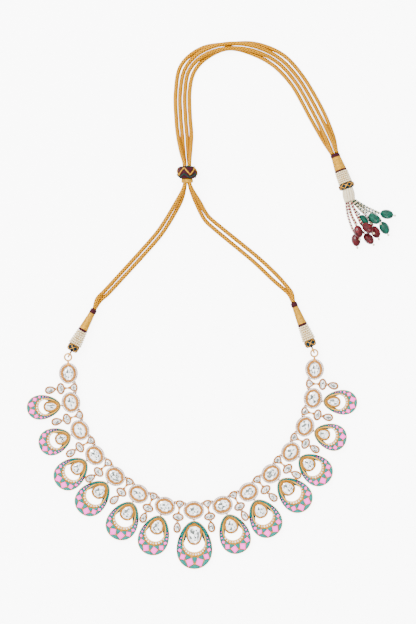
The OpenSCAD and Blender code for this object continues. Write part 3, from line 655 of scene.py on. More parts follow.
RING_R, RING_NECK, RING_WIRE = 1.97, 1.4, 0.76
ring_place = station(LAST) + (HALO_L / 2 + RING_NECK + RING_R) * unit(oval_angle(LAST))
drop_tip = EYE_R - EYE_WIRE / 2
mid_y = (ring_place.y + RING_R + RING_WIRE / 2 + drop_eye(0).y - drop_tip - DROP_L) / 2


def plan_matrix(left, place, angle):
    """A matrix in metres for a part of the chain; the left half is the right half's mirror image."""
    flip = Matrix.Diagonal((-1 if left else 1, 1, 1, 1))
    spot = Matrix.Translation(Vector((place.x, place.y, 0)) * MM)
    shift = Matrix.Translation(Vector((0, -mid_y * MM, 0)))
    return flip @ shift @ spot @ Matrix.Rotation(math.radians(angle), 4, "Z")


def oval_places():
    found = []
    for i in range(2 * LAST + 1):
        k = abs(i - LAST)
        found.append(plan_matrix(i < LAST, station(k), oval_angle(k)))
    return found


def connector_places():
    """(left half or not, number from the centre, matrix) of each connector."""
    return [(left, k, plan_matrix(left, (station(k - 1) + station(k)) / 2, heading(k)))
            for left in (True, False) for k in range(1, LAST + 1)]


def drop_places():
    """(number, number from the centre, matrix) of each drop. Its frame starts at its tip, with -Y down."""
    found = []
    to_tip = Matrix.Translation((0, -drop_tip * MM, 0))
    for i in range(2 * LAST - 1):
        k = abs(i - LAST + 1)
        found.append((i, k, plan_matrix(i < LAST - 1, drop_eye(k), DROPS[k].tilt) @ to_tip))
    return found


print("end ring at", [round(c, 1) for c in ring_place], "middle", round(mid_y, 2))

# %% Wind the two cord ends
# Places along a cord end, in mm from the middle of the chain's end ring, with a small gap between its parts
END_SLOPE = 3.2
GAP = 0.1
LOOP_AT, LOOP_R, HOOK_WIRE = 1.8, 1.6, 0.95
SLEEVE_D, SLEEVE_D2, SLEEVE_L = 7.7, 5.8, 8.9
KNOB_L, BAND_L, TIE_L = 4, 1, 2.3
KNOB_AT = LOOP_AT + LOOP_R + RING_WIRE / 2 + GAP
SLEEVE_AT = KNOB_AT + KNOB_L + GAP
BAND_AT = SLEEVE_AT + SLEEVE_L + GAP
CONE_AT = BAND_AT + BAND_L + GAP


def end_frame(left):
    """The frame of a cord end and the place of its tie along it."""
    height = SLEEVE_D / 2 + SLEEVE_AT * math.sin(math.radians(END_SLOPE)) + GAP
    start = Vector(((-1 if left else 1) * ring_place.x, ring_place.y - mid_y, height))
    target = strand_routes["cord_left_outer" if left else "cord_right_outer"][0]
    step = Vector(target[:2]) - start.xy
    turn = math.degrees(math.atan2(step.y, step.x))
    tie_at = step.length / math.cos(math.radians(END_SLOPE)) - 0.4 - TIE_L
    return local_frame(start, turn, -END_SLOPE), tie_at


cord_ends = {"left": end_frame(True), "right": end_frame(False)}
for side, (where, tie_at) in cord_ends.items():
    cone_line = [(CONE_AT, 5.4), (tie_at - GAP, 5.2, 3.6)]
    cone = wound_core(side + "_cone_winding", where, cone_line, 0.45, gold_thread)
    dress(cone, "gold_cord", side + "_cone")
    tie_line = [(tie_at, 5.2, 3.6), (tie_at + 0.4, 5.4, 3.9), (tie_at + 1.9, 5.4, 3.9),
                (tie_at + TIE_L + 0.3, 5.2, 3.6)]
    tie = wound_core(side + "_tie_winding", where, tie_line, 0.4, maroon_thread)
    band_line = [(BAND_AT, 5.4), (BAND_AT + 0.5, 5.9), (BAND_AT + BAND_L, 5.4)]
    band = wound_core(side + "_band_winding", where, band_line, 0.33, maroon_thread)
    dress(tie, "maroon_thread", side + "_ties")
    dress(band, "maroon_thread")

# %% [markdown]
# ## Beads by Geometry Nodes
#
# The sleeves, strings and halos are one small form repeated many times along a line. A node tree does that
# best: it sets points along each curve at a given spacing, puts one bead on each point turned to the
# curve, and makes the result real. Skip and First choose every other point, so that two colours of beads
# can share a string.

# %% A tree that strings beads along curves
def bead_tree(name):
    """Beads along every spline: inputs are the spacing, the bead's size across and along, and the finish."""
    tree = bpy.data.node_groups.new(name, "GeometryNodeTree")
    sockets = {}
    for label, kind, value in (("Curves", "Geometry", None), ("Spacing", "Float", MM),
                               ("Across", "Float", MM), ("Along", "Float", MM), ("Skip", "Int", 1),
                               ("First", "Int", 0), ("Rings", "Int", 5), ("Finish", "Material", None)):
        socket = tree.interface.new_socket(label, in_out="INPUT", socket_type="NodeSocket" + kind)
        if value is not None:
            socket.default_value = value
        sockets[label] = socket.identifier
    tree.interface.new_socket("Beads", in_out="OUTPUT", socket_type="NodeSocketGeometry")
    given = tree.nodes.new("NodeGroupInput").outputs
    points = add(tree, "GeometryNodeCurveToPoints", {"Curve": given["Curves"], "Length": given["Spacing"]},
                 mode="LENGTH")
    number = add(tree, "GeometryNodeInputIndex").outputs[0]
    turn = add(tree, "FunctionNodeIntegerMath", {0: number, 1: given["Skip"]}, operation="MODULO")
    chosen = add(tree, "FunctionNodeCompare", {2: turn.outputs[0], 3: given["First"]},
                 data_type="INT", operation="EQUAL")
    bead = add(tree, "GeometryNodeMeshUVSphere", {"Segments": 8, "Rings": given["Rings"],
                                                  "Radius": compute(tree, "MULTIPLY", given["Across"], 0.5)})
    stretch = compute(tree, "DIVIDE", given["Along"], given["Across"])
    size = add(tree, "ShaderNodeCombineXYZ", {"X": 1.0, "Y": 1.0, "Z": stretch})
    smooth = add(tree, "GeometryNodeSetShadeSmooth", {"Geometry": bead.outputs["Mesh"]})
    placed = add(tree, "GeometryNodeInstanceOnPoints",
                 {"Points": points.outputs["Points"], "Selection": chosen.outputs[0],
                  "Instance": smooth.outputs[0], "Rotation": points.outputs["Rotation"],
                  "Scale": size.outputs[0]})
    real = add(tree, "GeometryNodeRealizeInstances", {"Geometry": placed.outputs[0]})
    painted = add(tree, "GeometryNodeSetMaterial", {"Geometry": real.outputs[0],
                                                    "Material": given["Finish"]})
    out = tree.nodes.new("NodeGroupOutput")
    tree.links.new(painted.outputs[0], out.inputs[0])
    return tree, sockets


strung, strung_inputs = bead_tree("beads along curves")


def curves_object(name, lines, closed):
    """One curve object with a straight-sided spline for each line of points, in metres."""
    curve = bpy.data.curves.new(name, "CURVE")
    curve.dimensions = "3D"
    for line in lines:
        spline = curve.splines.new("POLY")
        spline.points.add(len(line) - 1)
        for point, place in zip(spline.points, line):
            point.co = (*place, 1)
        spline.use_cyclic_u = closed
    carrier = bpy.data.objects.new(name, curve)
    bpy.context.scene.collection.objects.link(carrier)
    return carrier


def bead_rows(name, lines, closed, spacing, across, along, material, skip=1, first=0, rings=5):
    """Beads on lines of points, as a plain mesh. Spacing and the beads' two sizes are in mm."""
    carrier = curves_object(name + "_line", lines, closed)
    modifier = carrier.modifiers.new("beads", "NODES")
    modifier.node_group = strung
    for label, value in (("Spacing", spacing * MM), ("Across", across * MM), ("Along", along * MM),
                         ("Skip", skip), ("First", first), ("Rings", rings), ("Finish", material)):
        modifier[strung_inputs[label]] = value
    seen = carrier.evaluated_get(bpy.context.evaluated_depsgraph_get())
    mesh = bpy.data.meshes.new_from_object(seen)
    mesh.name = name
    bpy.data.objects.remove(carrier)
    piece = bpy.data.objects.new(name, mesh)
    bpy.context.scene.collection.objects.link(piece)
    return piece


def join_pieces(name, pieces):
    """Several meshes as one piece, materials kept."""
    with bpy.context.temp_override(active_object=pieces[0], selected_editable_objects=pieces,
                                   selected_objects=pieces, object=pieces[0]):
        bpy.ops.object.join()
    pieces[0].name = name
    pieces[0].data.name = name
    return pieces[0]


print("the tree has", len(strung.nodes), "nodes")

# %% [markdown]
# A sleeve is woven from rows of white seed beads, each row a ring round the core. The beads are about
# 1.25 mm across, and each row takes as many as fit.

# %% Weave the bead sleeves
def ring_points(where, s, high, wide, count=36):
    """Points round a fitting at length s, in metres."""
    return [at(where, high / 2 * across, wide / 2 * up, s) for across, up in circle(count)]


def woven_sleeve(name, where, start, length, d1, d2, rows):
    """Rings of seed beads over a thread core."""
    bead = length / rows
    lines = []
    for row in range(rows):
        d = d1 + (d2 - d1) * (row + 0.5) / rows - 0.7 * bead
        lines.append(ring_points(where, start + (row + 0.5) * bead, d, d))
    beads = bead_rows(name + "_beads", lines, True, bead * 0.98, bead * 1.02, bead * 0.94, white_seed)
    inside = [(start, d1 - 1.6 * bead), (start + length, d2 - 1.6 * bead)]
    core = wound_core(name + "_core", where, inside, 0.6, gold_thread, sides=24)
    return join_pieces(name, [beads, core])


for side, (where, tie_at) in cord_ends.items():
    sleeve = woven_sleeve(side + "_sleeve_beads", where, SLEEVE_AT, SLEEVE_L, SLEEVE_D, SLEEVE_D2, 7)
    dress(sleeve, "seed_beads", side + "_sleeve")

# %% [markdown]
# The knobs and the ring on the tassel are dark enamel under crossing gold wires. The wires run up and down
# round the bead in a zigzag, so a tube on a curved route draws them, just proud of the enamel. Each knob
# hangs on a ring of plain wire, whose shank goes into the enamel.

# %% Enamelled knobs with crossing gold wires
ZIG_STEPS = 24
PROUD = 0.2


def turned(name, where, profile, material):
    """A smooth turned form: profile is (length, radius) in mm."""
    rings = [ring_points(where, s, 2 * r, 2 * r, 32) for s, r in profile]
    return rings_piece(name, rings, [s for s, r in profile], material)


def radius_at(profile, s):
    for (s0, r0), (s1, r1) in zip(profile, profile[1:]):
        if s <= s1:
            return r0 + (r1 - r0) * (s - s0) / (s1 - s0)
    return profile[-1][1]


def closed_tube(name, rings, material):
    """A tube that closes on itself."""
    verts = [p for ring in rings for p in ring]
    return mesh_piece(name, verts, ring_faces(len(rings), len(rings[0]), closed=True), material)


def wire_ring(name, where, radius, wire, material):
    """A ring of round wire in the XY plane of where. Sizes are in mm."""
    rings = [[at(where, x * (radius - c * wire / 2), y * (radius - c * wire / 2), s * wire / 2)
              for c, s in circle(10)] for x, y in circle(36)]
    return closed_tube(name, rings, material)


def crossing_wires(name, where, profile, start, end, zigs, wire, material, flips=(1, -1)):
    """Zigzag wires round a turned form, as plain tubes: two that mirror each other, or one."""
    made = []
    middle = at(where, 0, 0, (start + end) / 2)
    for flip in flips:
        points = []
        for i, (across, up) in enumerate(circle(ZIG_STEPS * zigs)):
            wave = 2 / math.pi * math.asin(math.sin(zigs * (math.tau * i / (ZIG_STEPS * zigs))))
            s = (start + end) / 2 + flip * wave * (end - start) / 2
            r = radius_at(profile, s) + wire * PROUD
            points.append(at(where, r * across, r * up, s))
        rings = []
        for i, p in enumerate(points):
            way = (points[(i + 1) % len(points)] - points[i - 1]).normalized()
            side = way.cross((p - middle).normalized()).normalized()
            out = side.cross(way)
            rings.append([p + wire / 2 * MM * (c * side + s * out) for c, s in circle(6)])
        made.append(closed_tube(name, rings, material))
    return made


KNOB = [(0, 0.9), (0.15, 2.0), (1.0, 3.06), (2.0, 3.34), (3.2, 3.22), (3.9, 2.7), (4.0, 2.0)]
for side, (where, tie_at) in cord_ends.items():
    profile = [(KNOB_AT + s, r) for s, r in KNOB]
    parts = [turned(side + "_knob_enamel", where, profile, navy_enamel)]
    parts += crossing_wires(side + "_wires", where, profile, KNOB_AT + 0.3, KNOB_AT + 3.7, 3, 0.45,
                            yellow_gold)
    rims = [ring_points(where, KNOB_AT + 3.85, 5.6, 5.6)]
    parts.append(bead_rows(side + "_knob_rims", rims, True, 0.6, 0.6, 0.6, yellow_gold, rings=4))
    dress(join_pieces(side + "_knob_enamel", parts), "dark_enamel", side + "_knob")
    upright = where @ Matrix.Translation((0, 0, LOOP_AT * MM)) @ Matrix.Rotation(math.pi / 2, 4, "X")
    hook = wire_ring(side + "_hook_ring", upright, LOOP_R, HOOK_WIRE, yellow_gold)
    shank_line = [at(where, 0, 0, s) for s in (LOOP_AT + LOOP_R, KNOB_AT - 0.1, KNOB_AT + 0.3)]
    shank = tube(side + "_shank", shank_line, 0.55 * MM, 10, yellow_gold)[0]
    dress(join_pieces(side + "_hook", [hook, shank]), "rose_gold", side + "_loop")

# %% [markdown]
# The slider is a big bead wound in maroon thread, with zigzags of gold and green over it. Under it the
# strands are wrapped in gold wire.

# %% Wind the slider
SLIDER_X, SLIDER_Y = -0.6, 163.5
slider_where = local_frame((SLIDER_X, SLIDER_Y - 3.55, 6.05), 90, 0)
SLIDER = [(0, 6.8), (0.3, 8.3), (0.9, 9.6), (1.7, 10.6), (2.6, 11.2), (3.55, 11.4), (4.5, 11.2), (5.4, 10.6),
          (6.2, 9.6), (6.8, 8.3), (7.1, 6.8)]
slider_round = [(s, d / 2) for s, d in SLIDER]
parts = [wound_core("slider_winding", slider_where, SLIDER, 0.45, maroon_thread, sides=40)]
# Start and end along the bead and thickness, in mm, thread, and which way the zigzag sets out
for start, end, wire, thread, flip in ((2.0, 6.2, 0.75, gold_thread, 1), (0.5, 2.6, 0.6, green_thread, 1),
                                       (6.3, 6.9, 0.5, green_thread, -1)):
    parts += crossing_wires("slider_zigzag", slider_where, slider_round, start, end, 5, wire, thread,
                            (flip,))
dress(join_pieces("slider_winding", parts), "maroon_thread", "slider")
WRAP_L = 2.2
wrap_where = local_frame((SLIDER_X, SLIDER_Y - 3.65 - WRAP_L, 5.85), 90, 0)
wrap = wound_core("slider_wrap_wire", wrap_where, [(0, 6.2), (0.5, 6.8), (1.7, 6.8), (WRAP_L, 6.2)], 0.55,
                  gold_thread)
dress(wrap, "gold_cord", "slider_wrap")

# %% [markdown]
# ## Settings and stones
#
# The metal of the ovals, links and pears keeps its solids. A halo of small stones goes round each oval,
# with a rim of beaded gold outside it, and a ring of gold beads stands round the main stone. A thicker wire
# lies over the two end rings.

# %% Polish the metal
def refinish(name, finish):
    """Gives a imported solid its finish."""
    nodes[name].data.materials.clear()
    nodes[name].data.materials.append(finish)


for name in nodes:
    if name.startswith("oval_link") or name in ("connector_links", "pear_settings"):
        refinish(name, rose_gold)
    elif name.startswith("drop_frame"):
        refinish(name, yellow_gold)
print("polished", sum(1 for n in nodes if n.startswith(("oval_link", "drop_frame"))), "links and drops")

# %% Set the halos
PLATE_Z, RIM_Z, SMALL_RIM_Z, END_RING_Z = 3.35, 4.3, 4.0, 3.8
end_rings = []
for left in (True, False):
    spot = plan_matrix(left, ring_place, 0).translation + Vector((0, 0, END_RING_Z * MM))
    end_rings.append(wire_ring("end_ring", Matrix.Translation(spot), RING_R, 1.0, yellow_gold))
dress(join_pieces("end_rings", end_rings), "rose_gold")


def oval_lines(length, width, z):
    """A line of this size round every oval."""
    return [ring_points(m, z, length, width, 48) for m in ovals]


ovals = oval_places()
halo_lines = oval_lines((HALO_L + BEZEL_L) / 2 + 0.1, (HALO_W + BEZEL_W) / 2, PLATE_Z + 0.15)
halo = bead_rows("halo_stones", halo_lines, True, 1.06, 1.0, 0.98, small_crystal, rings=3)
dress(halo, "clear_stone")
edge_lines = oval_lines(HALO_L - 0.1, HALO_W - 0.1, PLATE_Z)
edge = bead_rows("halo_edges", edge_lines, True, 0.6, 0.5, 0.6, rose_gold, rings=4)
rim_lines = oval_lines(BEZEL_L - 0.85, BEZEL_W - 0.85, RIM_Z - 0.16)
rim = bead_rows("bezel_beads", rim_lines, True, 1.1, 0.98, 0.92, rose_gold, rings=5)
dress(join_pieces("halo_and_bezel_beads", [edge, rim]), "rose_gold")

# %% [markdown]
# The cut stones are rose-cut: flat below, with rings of triangles that rise to a low point. More facets
# than the solids have give more sparkle, so each stone is cut anew in the space of its solid. Fine beads
# round off the rims of the small settings, and coarser granules those of the drops' stones.

# %% Cut the stones
def bulge(value, power):
    return math.copysign(abs(value) ** power, value)


def outline(kind, length, width, turn):
    """A point of a stone's outline round its middle."""
    c, s = math.cos(turn), math.sin(turn)
    if kind == "oval":
        return Vector((length / 2 * c, width / 2 * s))
    if kind == "egg":
        return Vector((width / 2 * c * (1 - 0.2 * s) * 0.98, length / 2 * s))
    if kind == "shield":
        return Vector((width / 2 * bulge(c, 0.8) * (0.9 + 0.1 * s), length / 2 * bulge(s, 0.85)))
    if kind == "trillion":
        return Vector((width / 2 * c * (0.88 + 0.38 * s), length / 2 * s))
    return Vector((width / 2 * bulge(c, 1.05), length / 2 * s))


def outline_line(where, kind, middle, length, width, z, count):
    """A line round a stone, in metres."""
    points = [outline(kind, length, width, math.tau * j / count) + middle for j in range(count)]
    return [at(where, p.x, p.y, z) for p in points]


def outward(faces, base, where):
    """The faces, counted from vertex base, and turned round in a frame that mirrors them."""
    mirrored = where.to_3x3().determinant() < 0
    return [tuple(base + v for v in (reversed(f) if mirrored else f)) for f in faces]


def cut_stones(name, wanted):
    """Rose-cut stones from (matrix, kind, middle, length, width, bottom, top) in mm, as one mesh."""
    verts, faces, depths = [], [], []
    for where, kind, middle, length, width, low, high in wanted:
        n = 9 if length > 5 else 8
        base = len(verts)
        # Size as a share of the outline, height, and a shift by a part of a facet
        rings = [(1.0, low, 0.0), (1.0, low + (high - low) * 0.45, 0.0),
                 (0.78, low + (high - low) * 0.8, 0.5), (0.5, high - 0.04, 0.0)]
        for share, z, shift in rings:
            for i in range(n):
                p = outline(kind, length * share, width * share, math.tau * (i + shift) / n) + middle
                verts.append(at(where, p.x, p.y, z))
        verts.append(at(where, middle.x, middle.y, high + 0.02))
        made = [tuple(range(n - 1, -1, -1)), *ring_faces(2, n)]
        steps = [(i, (i + 1) % n) for i in range(n)]
        for i, k in steps:
            made += [(n + i, n + k, 2 * n + i), (n + k, 2 * n + k, 2 * n + i)]
        for i, k in steps:
            made += [(2 * n + i, 2 * n + k, 3 * n + k), (2 * n + i, 3 * n + k, 3 * n + i)]
        made += [(3 * n + i, 3 * n + k, 4 * n) for i, k in steps]
        faces += outward(made, base, where)
        depths += [0.0] * (1 + n) + [0.25] * (2 * n) + [0.75] * (2 * n) + [1.0] * n
    piece = mesh_piece(name, verts, faces, crystal, smooth=False)
    depth = piece.data.attributes.new("depth", "FLOAT", "FACE")
    depth.data.foreach_set("value", depths)
    return piece


# A stone's seat lies SEAT below its rim and its point stands CROWN above it
SEAT, CROWN = 0.8, 0.4
OVAL_L, OVAL_W = 8, 6
oval_cuts = [(m, "oval", Vector((0, 0)), OVAL_L, OVAL_W, RIM_Z - SEAT, RIM_Z + CROWN) for m in ovals]
dress(cut_stones("oval_stones_cut", oval_cuts), "clear_stone", "oval_stones")

TRILLION_L, TRILLION_W, MARQUISE_H, MARQUISE_W = 4.8, 5.4, 4.8, 6.8
PEAR_L, PEAR_W, SMALL_RIM = 6.4, 4.6, 0.9
TRILLION_Y, STRAP = -0.15, 2.5
MARQUISE_Y = TRILLION_Y - STRAP - MARQUISE_H / 2
PEAR_SWING = {True: [-6, -2, 12, 15, -3, 8, -5], False: [-1, 2, 12, 15, -3, 7, -9]}
SMALL_EYE, SMALL_WIRE, PEAR_TIP = 0.75, 0.45, 0.275
PEAR_EYE_Y = MARQUISE_Y - MARQUISE_H / 2 + 0.6 - 2 * SMALL_EYE + SMALL_WIRE / 2
small, pears = [], []
for left, k, m in connector_places():
    swung = (m @ Matrix.Translation((0, PEAR_EYE_Y * MM, 0))
             @ Matrix.Rotation(math.radians(PEAR_SWING[left][k - 1]), 4, "Z"))
    for found, where, kind, y, length, width in (
            (small, m, "trillion", TRILLION_Y + TRILLION_L / 2, TRILLION_L, TRILLION_W),
            (small, m, "marquise", MARQUISE_Y, MARQUISE_H, MARQUISE_W),
            (pears, swung, "egg", PEAR_TIP - PEAR_L / 2, PEAR_L, PEAR_W)):
        found.append((where, kind, Vector((0, y)), length - 2 * SMALL_RIM, width - 2 * SMALL_RIM,
                      SMALL_RIM_Z - SEAT, SMALL_RIM_Z + CROWN))
beading = [outline_line(m, kind, middle, length + 0.9, width + 0.9, SMALL_RIM_Z - 0.08, 40)
           for m, kind, middle, length, width, low, high in small + pears]
dress(bead_rows("small_rim_beads", beading, True, 0.75, 0.72, 0.66, rose_gold, rings=4), "rose_gold")
dress(cut_stones("link_stones_cut", small), "clear_stone", "connector_stones")
dress(cut_stones("pear_stones_cut", pears), "clear_stone", "pear_stones")

# The collets start this share of a drop's length below its tip
COLLET_DOWN = 0.07
COLLET_Z, COLLET_RIM = 3.8, 1.0
hung, granules = [], []
for i, k, m in drop_places():
    drop, (length, width) = DROPS[k], drop_size(k)
    stone_l, stone_w = length * drop.setting_l - 2 * COLLET_RIM, width * drop.setting_w - 2 * COLLET_RIM
    middle = Vector((0, -COLLET_RIM - length * COLLET_DOWN - stone_l / 2))
    hung.append((m, drop.kind, middle, stone_l, stone_w, COLLET_Z - SEAT, COLLET_Z + CROWN))
    granules.append(outline_line(m, drop.kind, middle, stone_l + 1.15, stone_w + 1.15, COLLET_Z - 0.05, 48))
dress(cut_stones("drop_stones_cut", hung), "clear_stone", "drop_stones")
dress(bead_rows("collet_granules", granules, True, 1.1, 1.0, 0.92, granulated_gold, rings=4),
      "enamelled_gold")

# %% [markdown]
# ## The enamel
#
# On each drop the enamel fills a band between the outer edge and the pierced middle. A chain of pink
# lozenges runs up both sides of the band, largest at the bottom, with turquoise cells inside and outside it.
# Above the chain a row of turquoise dashes fills the band to the top, and a dark green line follows the
# outer edge from the widest place up. A place in the band is an angle round the drop, from its bottom, and a
# share of the way from the inner edge to the outer one, so one pattern fits every drop.

# %% The band and its cells
HOLE_TOP, HOLE_BOTTOM, HOLE_WIDTH = 0.084, 0.655, 0.59
BAND_W, PAVE_W = 0.8, 2.3
DROP_T = 2.4


def egg_point(top, length, width, degrees):
    """A point of an egg outline whose narrow end is at height top; -90 is the bottom, 90 the top."""
    p = outline("egg", length, width, math.radians(degrees))
    return Vector((p.x, top - length / 2 + p.y))


def hole_edge(k, degrees):
    """A point of the edge of the drop's opening."""
    length, width = drop_size(k)
    return egg_point(-length * HOLE_TOP, length * (HOLE_BOTTOM - HOLE_TOP), width * HOLE_WIDTH, degrees)


def band_edge(k, degrees):
    """A point of the band's inner edge, which leaves room for the crescent of small stones."""
    length, width = drop_size(k)
    hole_l = length * (HOLE_BOTTOM - HOLE_TOP) + BAND_W + PAVE_W * DROPS[k].long
    return egg_point(-length * HOLE_TOP + BAND_W, hole_l, width * HOLE_WIDTH + 2 * BAND_W, degrees)


def band_point(k, angle, share):
    """angle is from the bottom, growing up the right side; share is 0 inside and 1 outside."""
    return band_edge(k, angle - 90).lerp(egg_point(0, *drop_size(k), angle - 90), share)


def cell(corners):
    """A cell's outline: straight between corners, or along the band where two have the same share."""
    points = []
    for (a0, s0), (a1, s1) in zip(corners, corners[1:] + corners[:1]):
        count = max(1, round(abs(a1 - a0) / 5)) if s0 == s1 else 1
        points += [(a0 + (a1 - a0) * i / count, s0) for i in range(count)]
    return points


# The chain on one side: first and last corner, inner corner and outer corner, as angles and shares
CHAIN = [
    ((3.5, 0.6), (11, 0.14), (31, 0.51), (18.5, 0.92)),
    ((37, 0.59), (36, 0.15), (56, 0.46), (52, 0.86)),
    ((61, 0.48), (60.5, 0.2), (75, 0.5), (74, 0.81)),
    ((78, 0.43), (78.5, 0.22), (86, 0.45), (86.5, 0.7)),
    ((89.5, 0.42), (92, 0.26), (96, 0.42), (94, 0.57)),
    ((98.5, 0.36), (101, 0.2), (104.5, 0.36), (102, 0.5)),
]
# The edges of the turquoise cells as shares: inside, outside, and outside where the green line runs
INSIDE, OUTSIDE, BESIDE_LINE = 0.04, 0.97, 0.87
LINE_FROM, LINE_TO = 60, 178
DASHES, DASH_FROM, DASH_TO, DASH_LOW, DASH_HIGH = 7, 110, 172, 0.12, 0.8
NOTCH = 0.18


def toward(a, b, share):
    return (a[0] + (b[0] - a[0]) * share, a[1] + (b[1] - a[1]) * share)


def between(low, high, base, side):
    """The cell between two lozenges, on the inner or the outer side. side is 1 for inner, 3 for outer."""
    a, b = toward(low[side], low[2], NOTCH), toward(high[side], high[0], NOTCH)
    tip = toward(low[2], high[0], 0.5)
    return cell([(a[0], base), a, tip, b, (b[0], base)])


def half_pattern():
    """(colour, gap in mm, cell) on the side where angles are positive."""
    found = [("pink", 0.04, cell(list(corners))) for corners in CHAIN]
    for i, (low, high) in enumerate(zip(CHAIN, CHAIN[1:])):
        gap, outside = (0.2, OUTSIDE) if i < 2 else (0.1, BESIDE_LINE)
        found.append(("turquoise", gap, between(low, high, INSIDE, 1)))
        found.append(("turquoise", gap, between(low, high, outside, 3)))
    last = [(101.5, 0.06), (103, 0.22), (106, 0.4), (111, 0.6), (111, 0.08)]
    found.append(("turquoise", 0.16, cell(last)))
    line = [(LINE_FROM, 0.92), (LINE_TO, 0.88), (LINE_TO, 0.985), (LINE_FROM, 0.985)]
    found.append(("green", 0.04, cell(line)))
    step = (DASH_TO - DASH_FROM) / DASHES
    for j in range(DASHES):
        a = DASH_FROM + step * j
        found.append(("turquoise", 0.13, cell([(a + 0.3 * step, DASH_LOW), (a + 1.2 * step, DASH_LOW),
                                               (a + step, DASH_HIGH), (a + 0.1 * step, DASH_HIGH)])))
    return found


def drop_pattern():
    """All cells of a drop: the two halves, with two cells at the bottom and one across the top."""
    found = []
    for colour, gap, points in half_pattern():
        found.append((colour, gap, points))
        found.append((colour, gap, [(-a, s) for a, s in points]))
    first = CHAIN[0]
    for base, side in ((INSIDE, 1), (OUTSIDE, 3)):
        a = toward(first[side], first[0], NOTCH)
        tip = (0, first[0][1])
        found.append(("turquoise", 0.18, cell([(-a[0], base), (-a[0], a[1]), tip, a, (a[0], base)])))
    found.append(("turquoise", 0.1, cell([(174, 0.15), (186, 0.15), (186, DASH_HIGH), (174, DASH_HIGH)])))
    return found


SMALLEST_CELL = 0.04
LONG_CELL = 20


def area(points):
    """The area inside an outline, above zero where it is anticlockwise."""
    return sum(a.x * b.y - a.y * b.x for a, b in zip(points, points[1:] + points[:1])) / 2


def shrink(points, gap):
    """The outline moved inwards by gap, or None where too little is left. It is made anticlockwise."""
    if area(points) < 0:
        points = points[::-1]
    moved = []
    for i, p in enumerate(points):
        before, after = (p - points[i - 1]), (points[(i + 1) % len(points)] - p)
        if before.length < 1e-6 or after.length < 1e-6:
            return None
        n0 = Vector((-before.y, before.x)).normalized()
        n1 = Vector((-after.y, after.x)).normalized()
        way = n0 + n1
        if way.length < 0.3:
            way = n0
        moved.append(p + way.normalized() * gap / max(0.45, way.length / 2))
    return moved if area(moved) > SMALLEST_CELL else None


def dome(line, rise):
    """Rings of points in mm over an outline, from the band's floor to a low crown."""
    centre = sum(line, Vector((0, 0))) / len(line)
    rings = []
    for z, share in ((-0.05, 0.0), (rise * 0.72, 0.0), (rise, 0.25)):
        rings.append([(*p.lerp(centre, share), DROP_T + z) for p in line])
    return rings, (*centre, DROP_T + rise * 1.04)


def enamel_piece(name, k, where):
    """All cells of one drop, each a low dome that stands on the floor of the band. Long ones are flat."""
    verts, faces, paints = [], [], []
    for colour, gap, corners in drop_pattern():
        line = [band_point(k, a, s) for a, s in corners]
        line = shrink(line, gap * (0.5 + 0.5 * DROPS[k].long))
        if line is None:
            continue
        n, base = len(line), len(verts)
        flat = n > LONG_CELL
        rings, crown = dome(line, 0.3 if flat else 0.42)
        rings = rings[:2] if flat else rings
        verts += [where @ (Vector(p) * MM) for ring in rings for p in ring]
        made = [tuple(range(n - 1, -1, -1)), *ring_faces(len(rings), n)]
        if flat:
            made.append(tuple(n + j for j in range(n)))
        else:
            verts.append(where @ (Vector(crown) * MM))
            made += [(2 * n + j, 2 * n + (j + 1) % n, 3 * n) for j in range(n)]
        faces += outward(made, base, where)
        paints += [("turquoise", "pink", "green").index(colour)] * len(made)
    piece = mesh_piece(name, verts, faces, turquoise_enamel)
    piece.data.materials.append(pink_enamel)
    piece.data.materials.append(green_enamel)
    piece.data.polygons.foreach_set("material_index", paints)
    return piece


for i, k, m in drop_places():
    dress(enamel_piece(f"enamel_{i + 1:02d}", k, m), "enamelled_gold")

# %% [markdown]
# Below the opening of each drop is a crescent of small stones, set close, each a little wider than long,
# with a fence of gold granules outside them.

# %% Set the crescents
# Places along a crescent, in degrees with -90 at the bottom
CRESCENT = range(-152, -27, 4)
crescents, claws = [], []
for i, k, m in drop_places():
    line, fence = [], []
    for degrees in CRESCENT:
        hole, edge = hole_edge(k, degrees), band_edge(k, degrees)
        line.append(at(m, *hole.lerp(edge, 0.5), DROP_T + 0.1))
        fence.append(at(m, *hole.lerp(edge, 0.93), DROP_T + 0.3))
    crescents.append(line)
    claws.append(fence)
dress(bead_rows("crescent_stones", crescents, False, 1.45, 1.4, 1.0, small_crystal, rings=3), "clear_stone")
dress(bead_rows("crescent_claws", claws, False, 0.7, 0.45, 0.45, yellow_gold, rings=4), "enamelled_gold")

# %% [markdown]
# ## The tassel
#
# Gold cone, bead sleeve and wound ring follow one line. From the ring a bundle of cream silk comes out, and
# nine strings of seed beads lead from it to the carved beads. Each string ends in a thread through its bead
# and a white bead that stops it.

# %% Wind the tassel's head
tassel_where = local_frame((83.5, 172.9, 2.6), -71, 5.8)
T_TIE, T_CONE = 0.2, 2.2
T_BAND = T_CONE + 7.7
T_SLEEVE = T_BAND + 0.9
T_TURBAN = T_SLEEVE + 7.3
T_BUNDLE = T_TURBAN + 3.2
tie_line = [(T_TIE, 5.3), (T_TIE + 0.9, 5.7), (T_TIE + 1.9, 5.4)]
dress(wound_core("tassel_tie_winding", tassel_where, tie_line, 0.4, maroon_thread), "maroon_thread",
      "tassel_ties")
band_line = [(T_BAND, 6.9), (T_BAND + 0.4, 7.2), (T_BAND + 0.8, 6.9)]
dress(wound_core("tassel_band_winding", tassel_where, band_line, 0.27, maroon_thread), "maroon_thread")
cone_line = [(T_CONE, 5.4), (T_CONE + 7.6, 7.0)]
dress(wound_core("tassel_cone_winding", tassel_where, cone_line, 0.45, gold_thread), "gold_cord",
      "tassel_cone")
sleeve = woven_sleeve("tassel_sleeve_beads", tassel_where, T_SLEEVE, 7.2, 7.4, 8.0, 6)
dress(sleeve, "seed_beads", "tassel_sleeve")
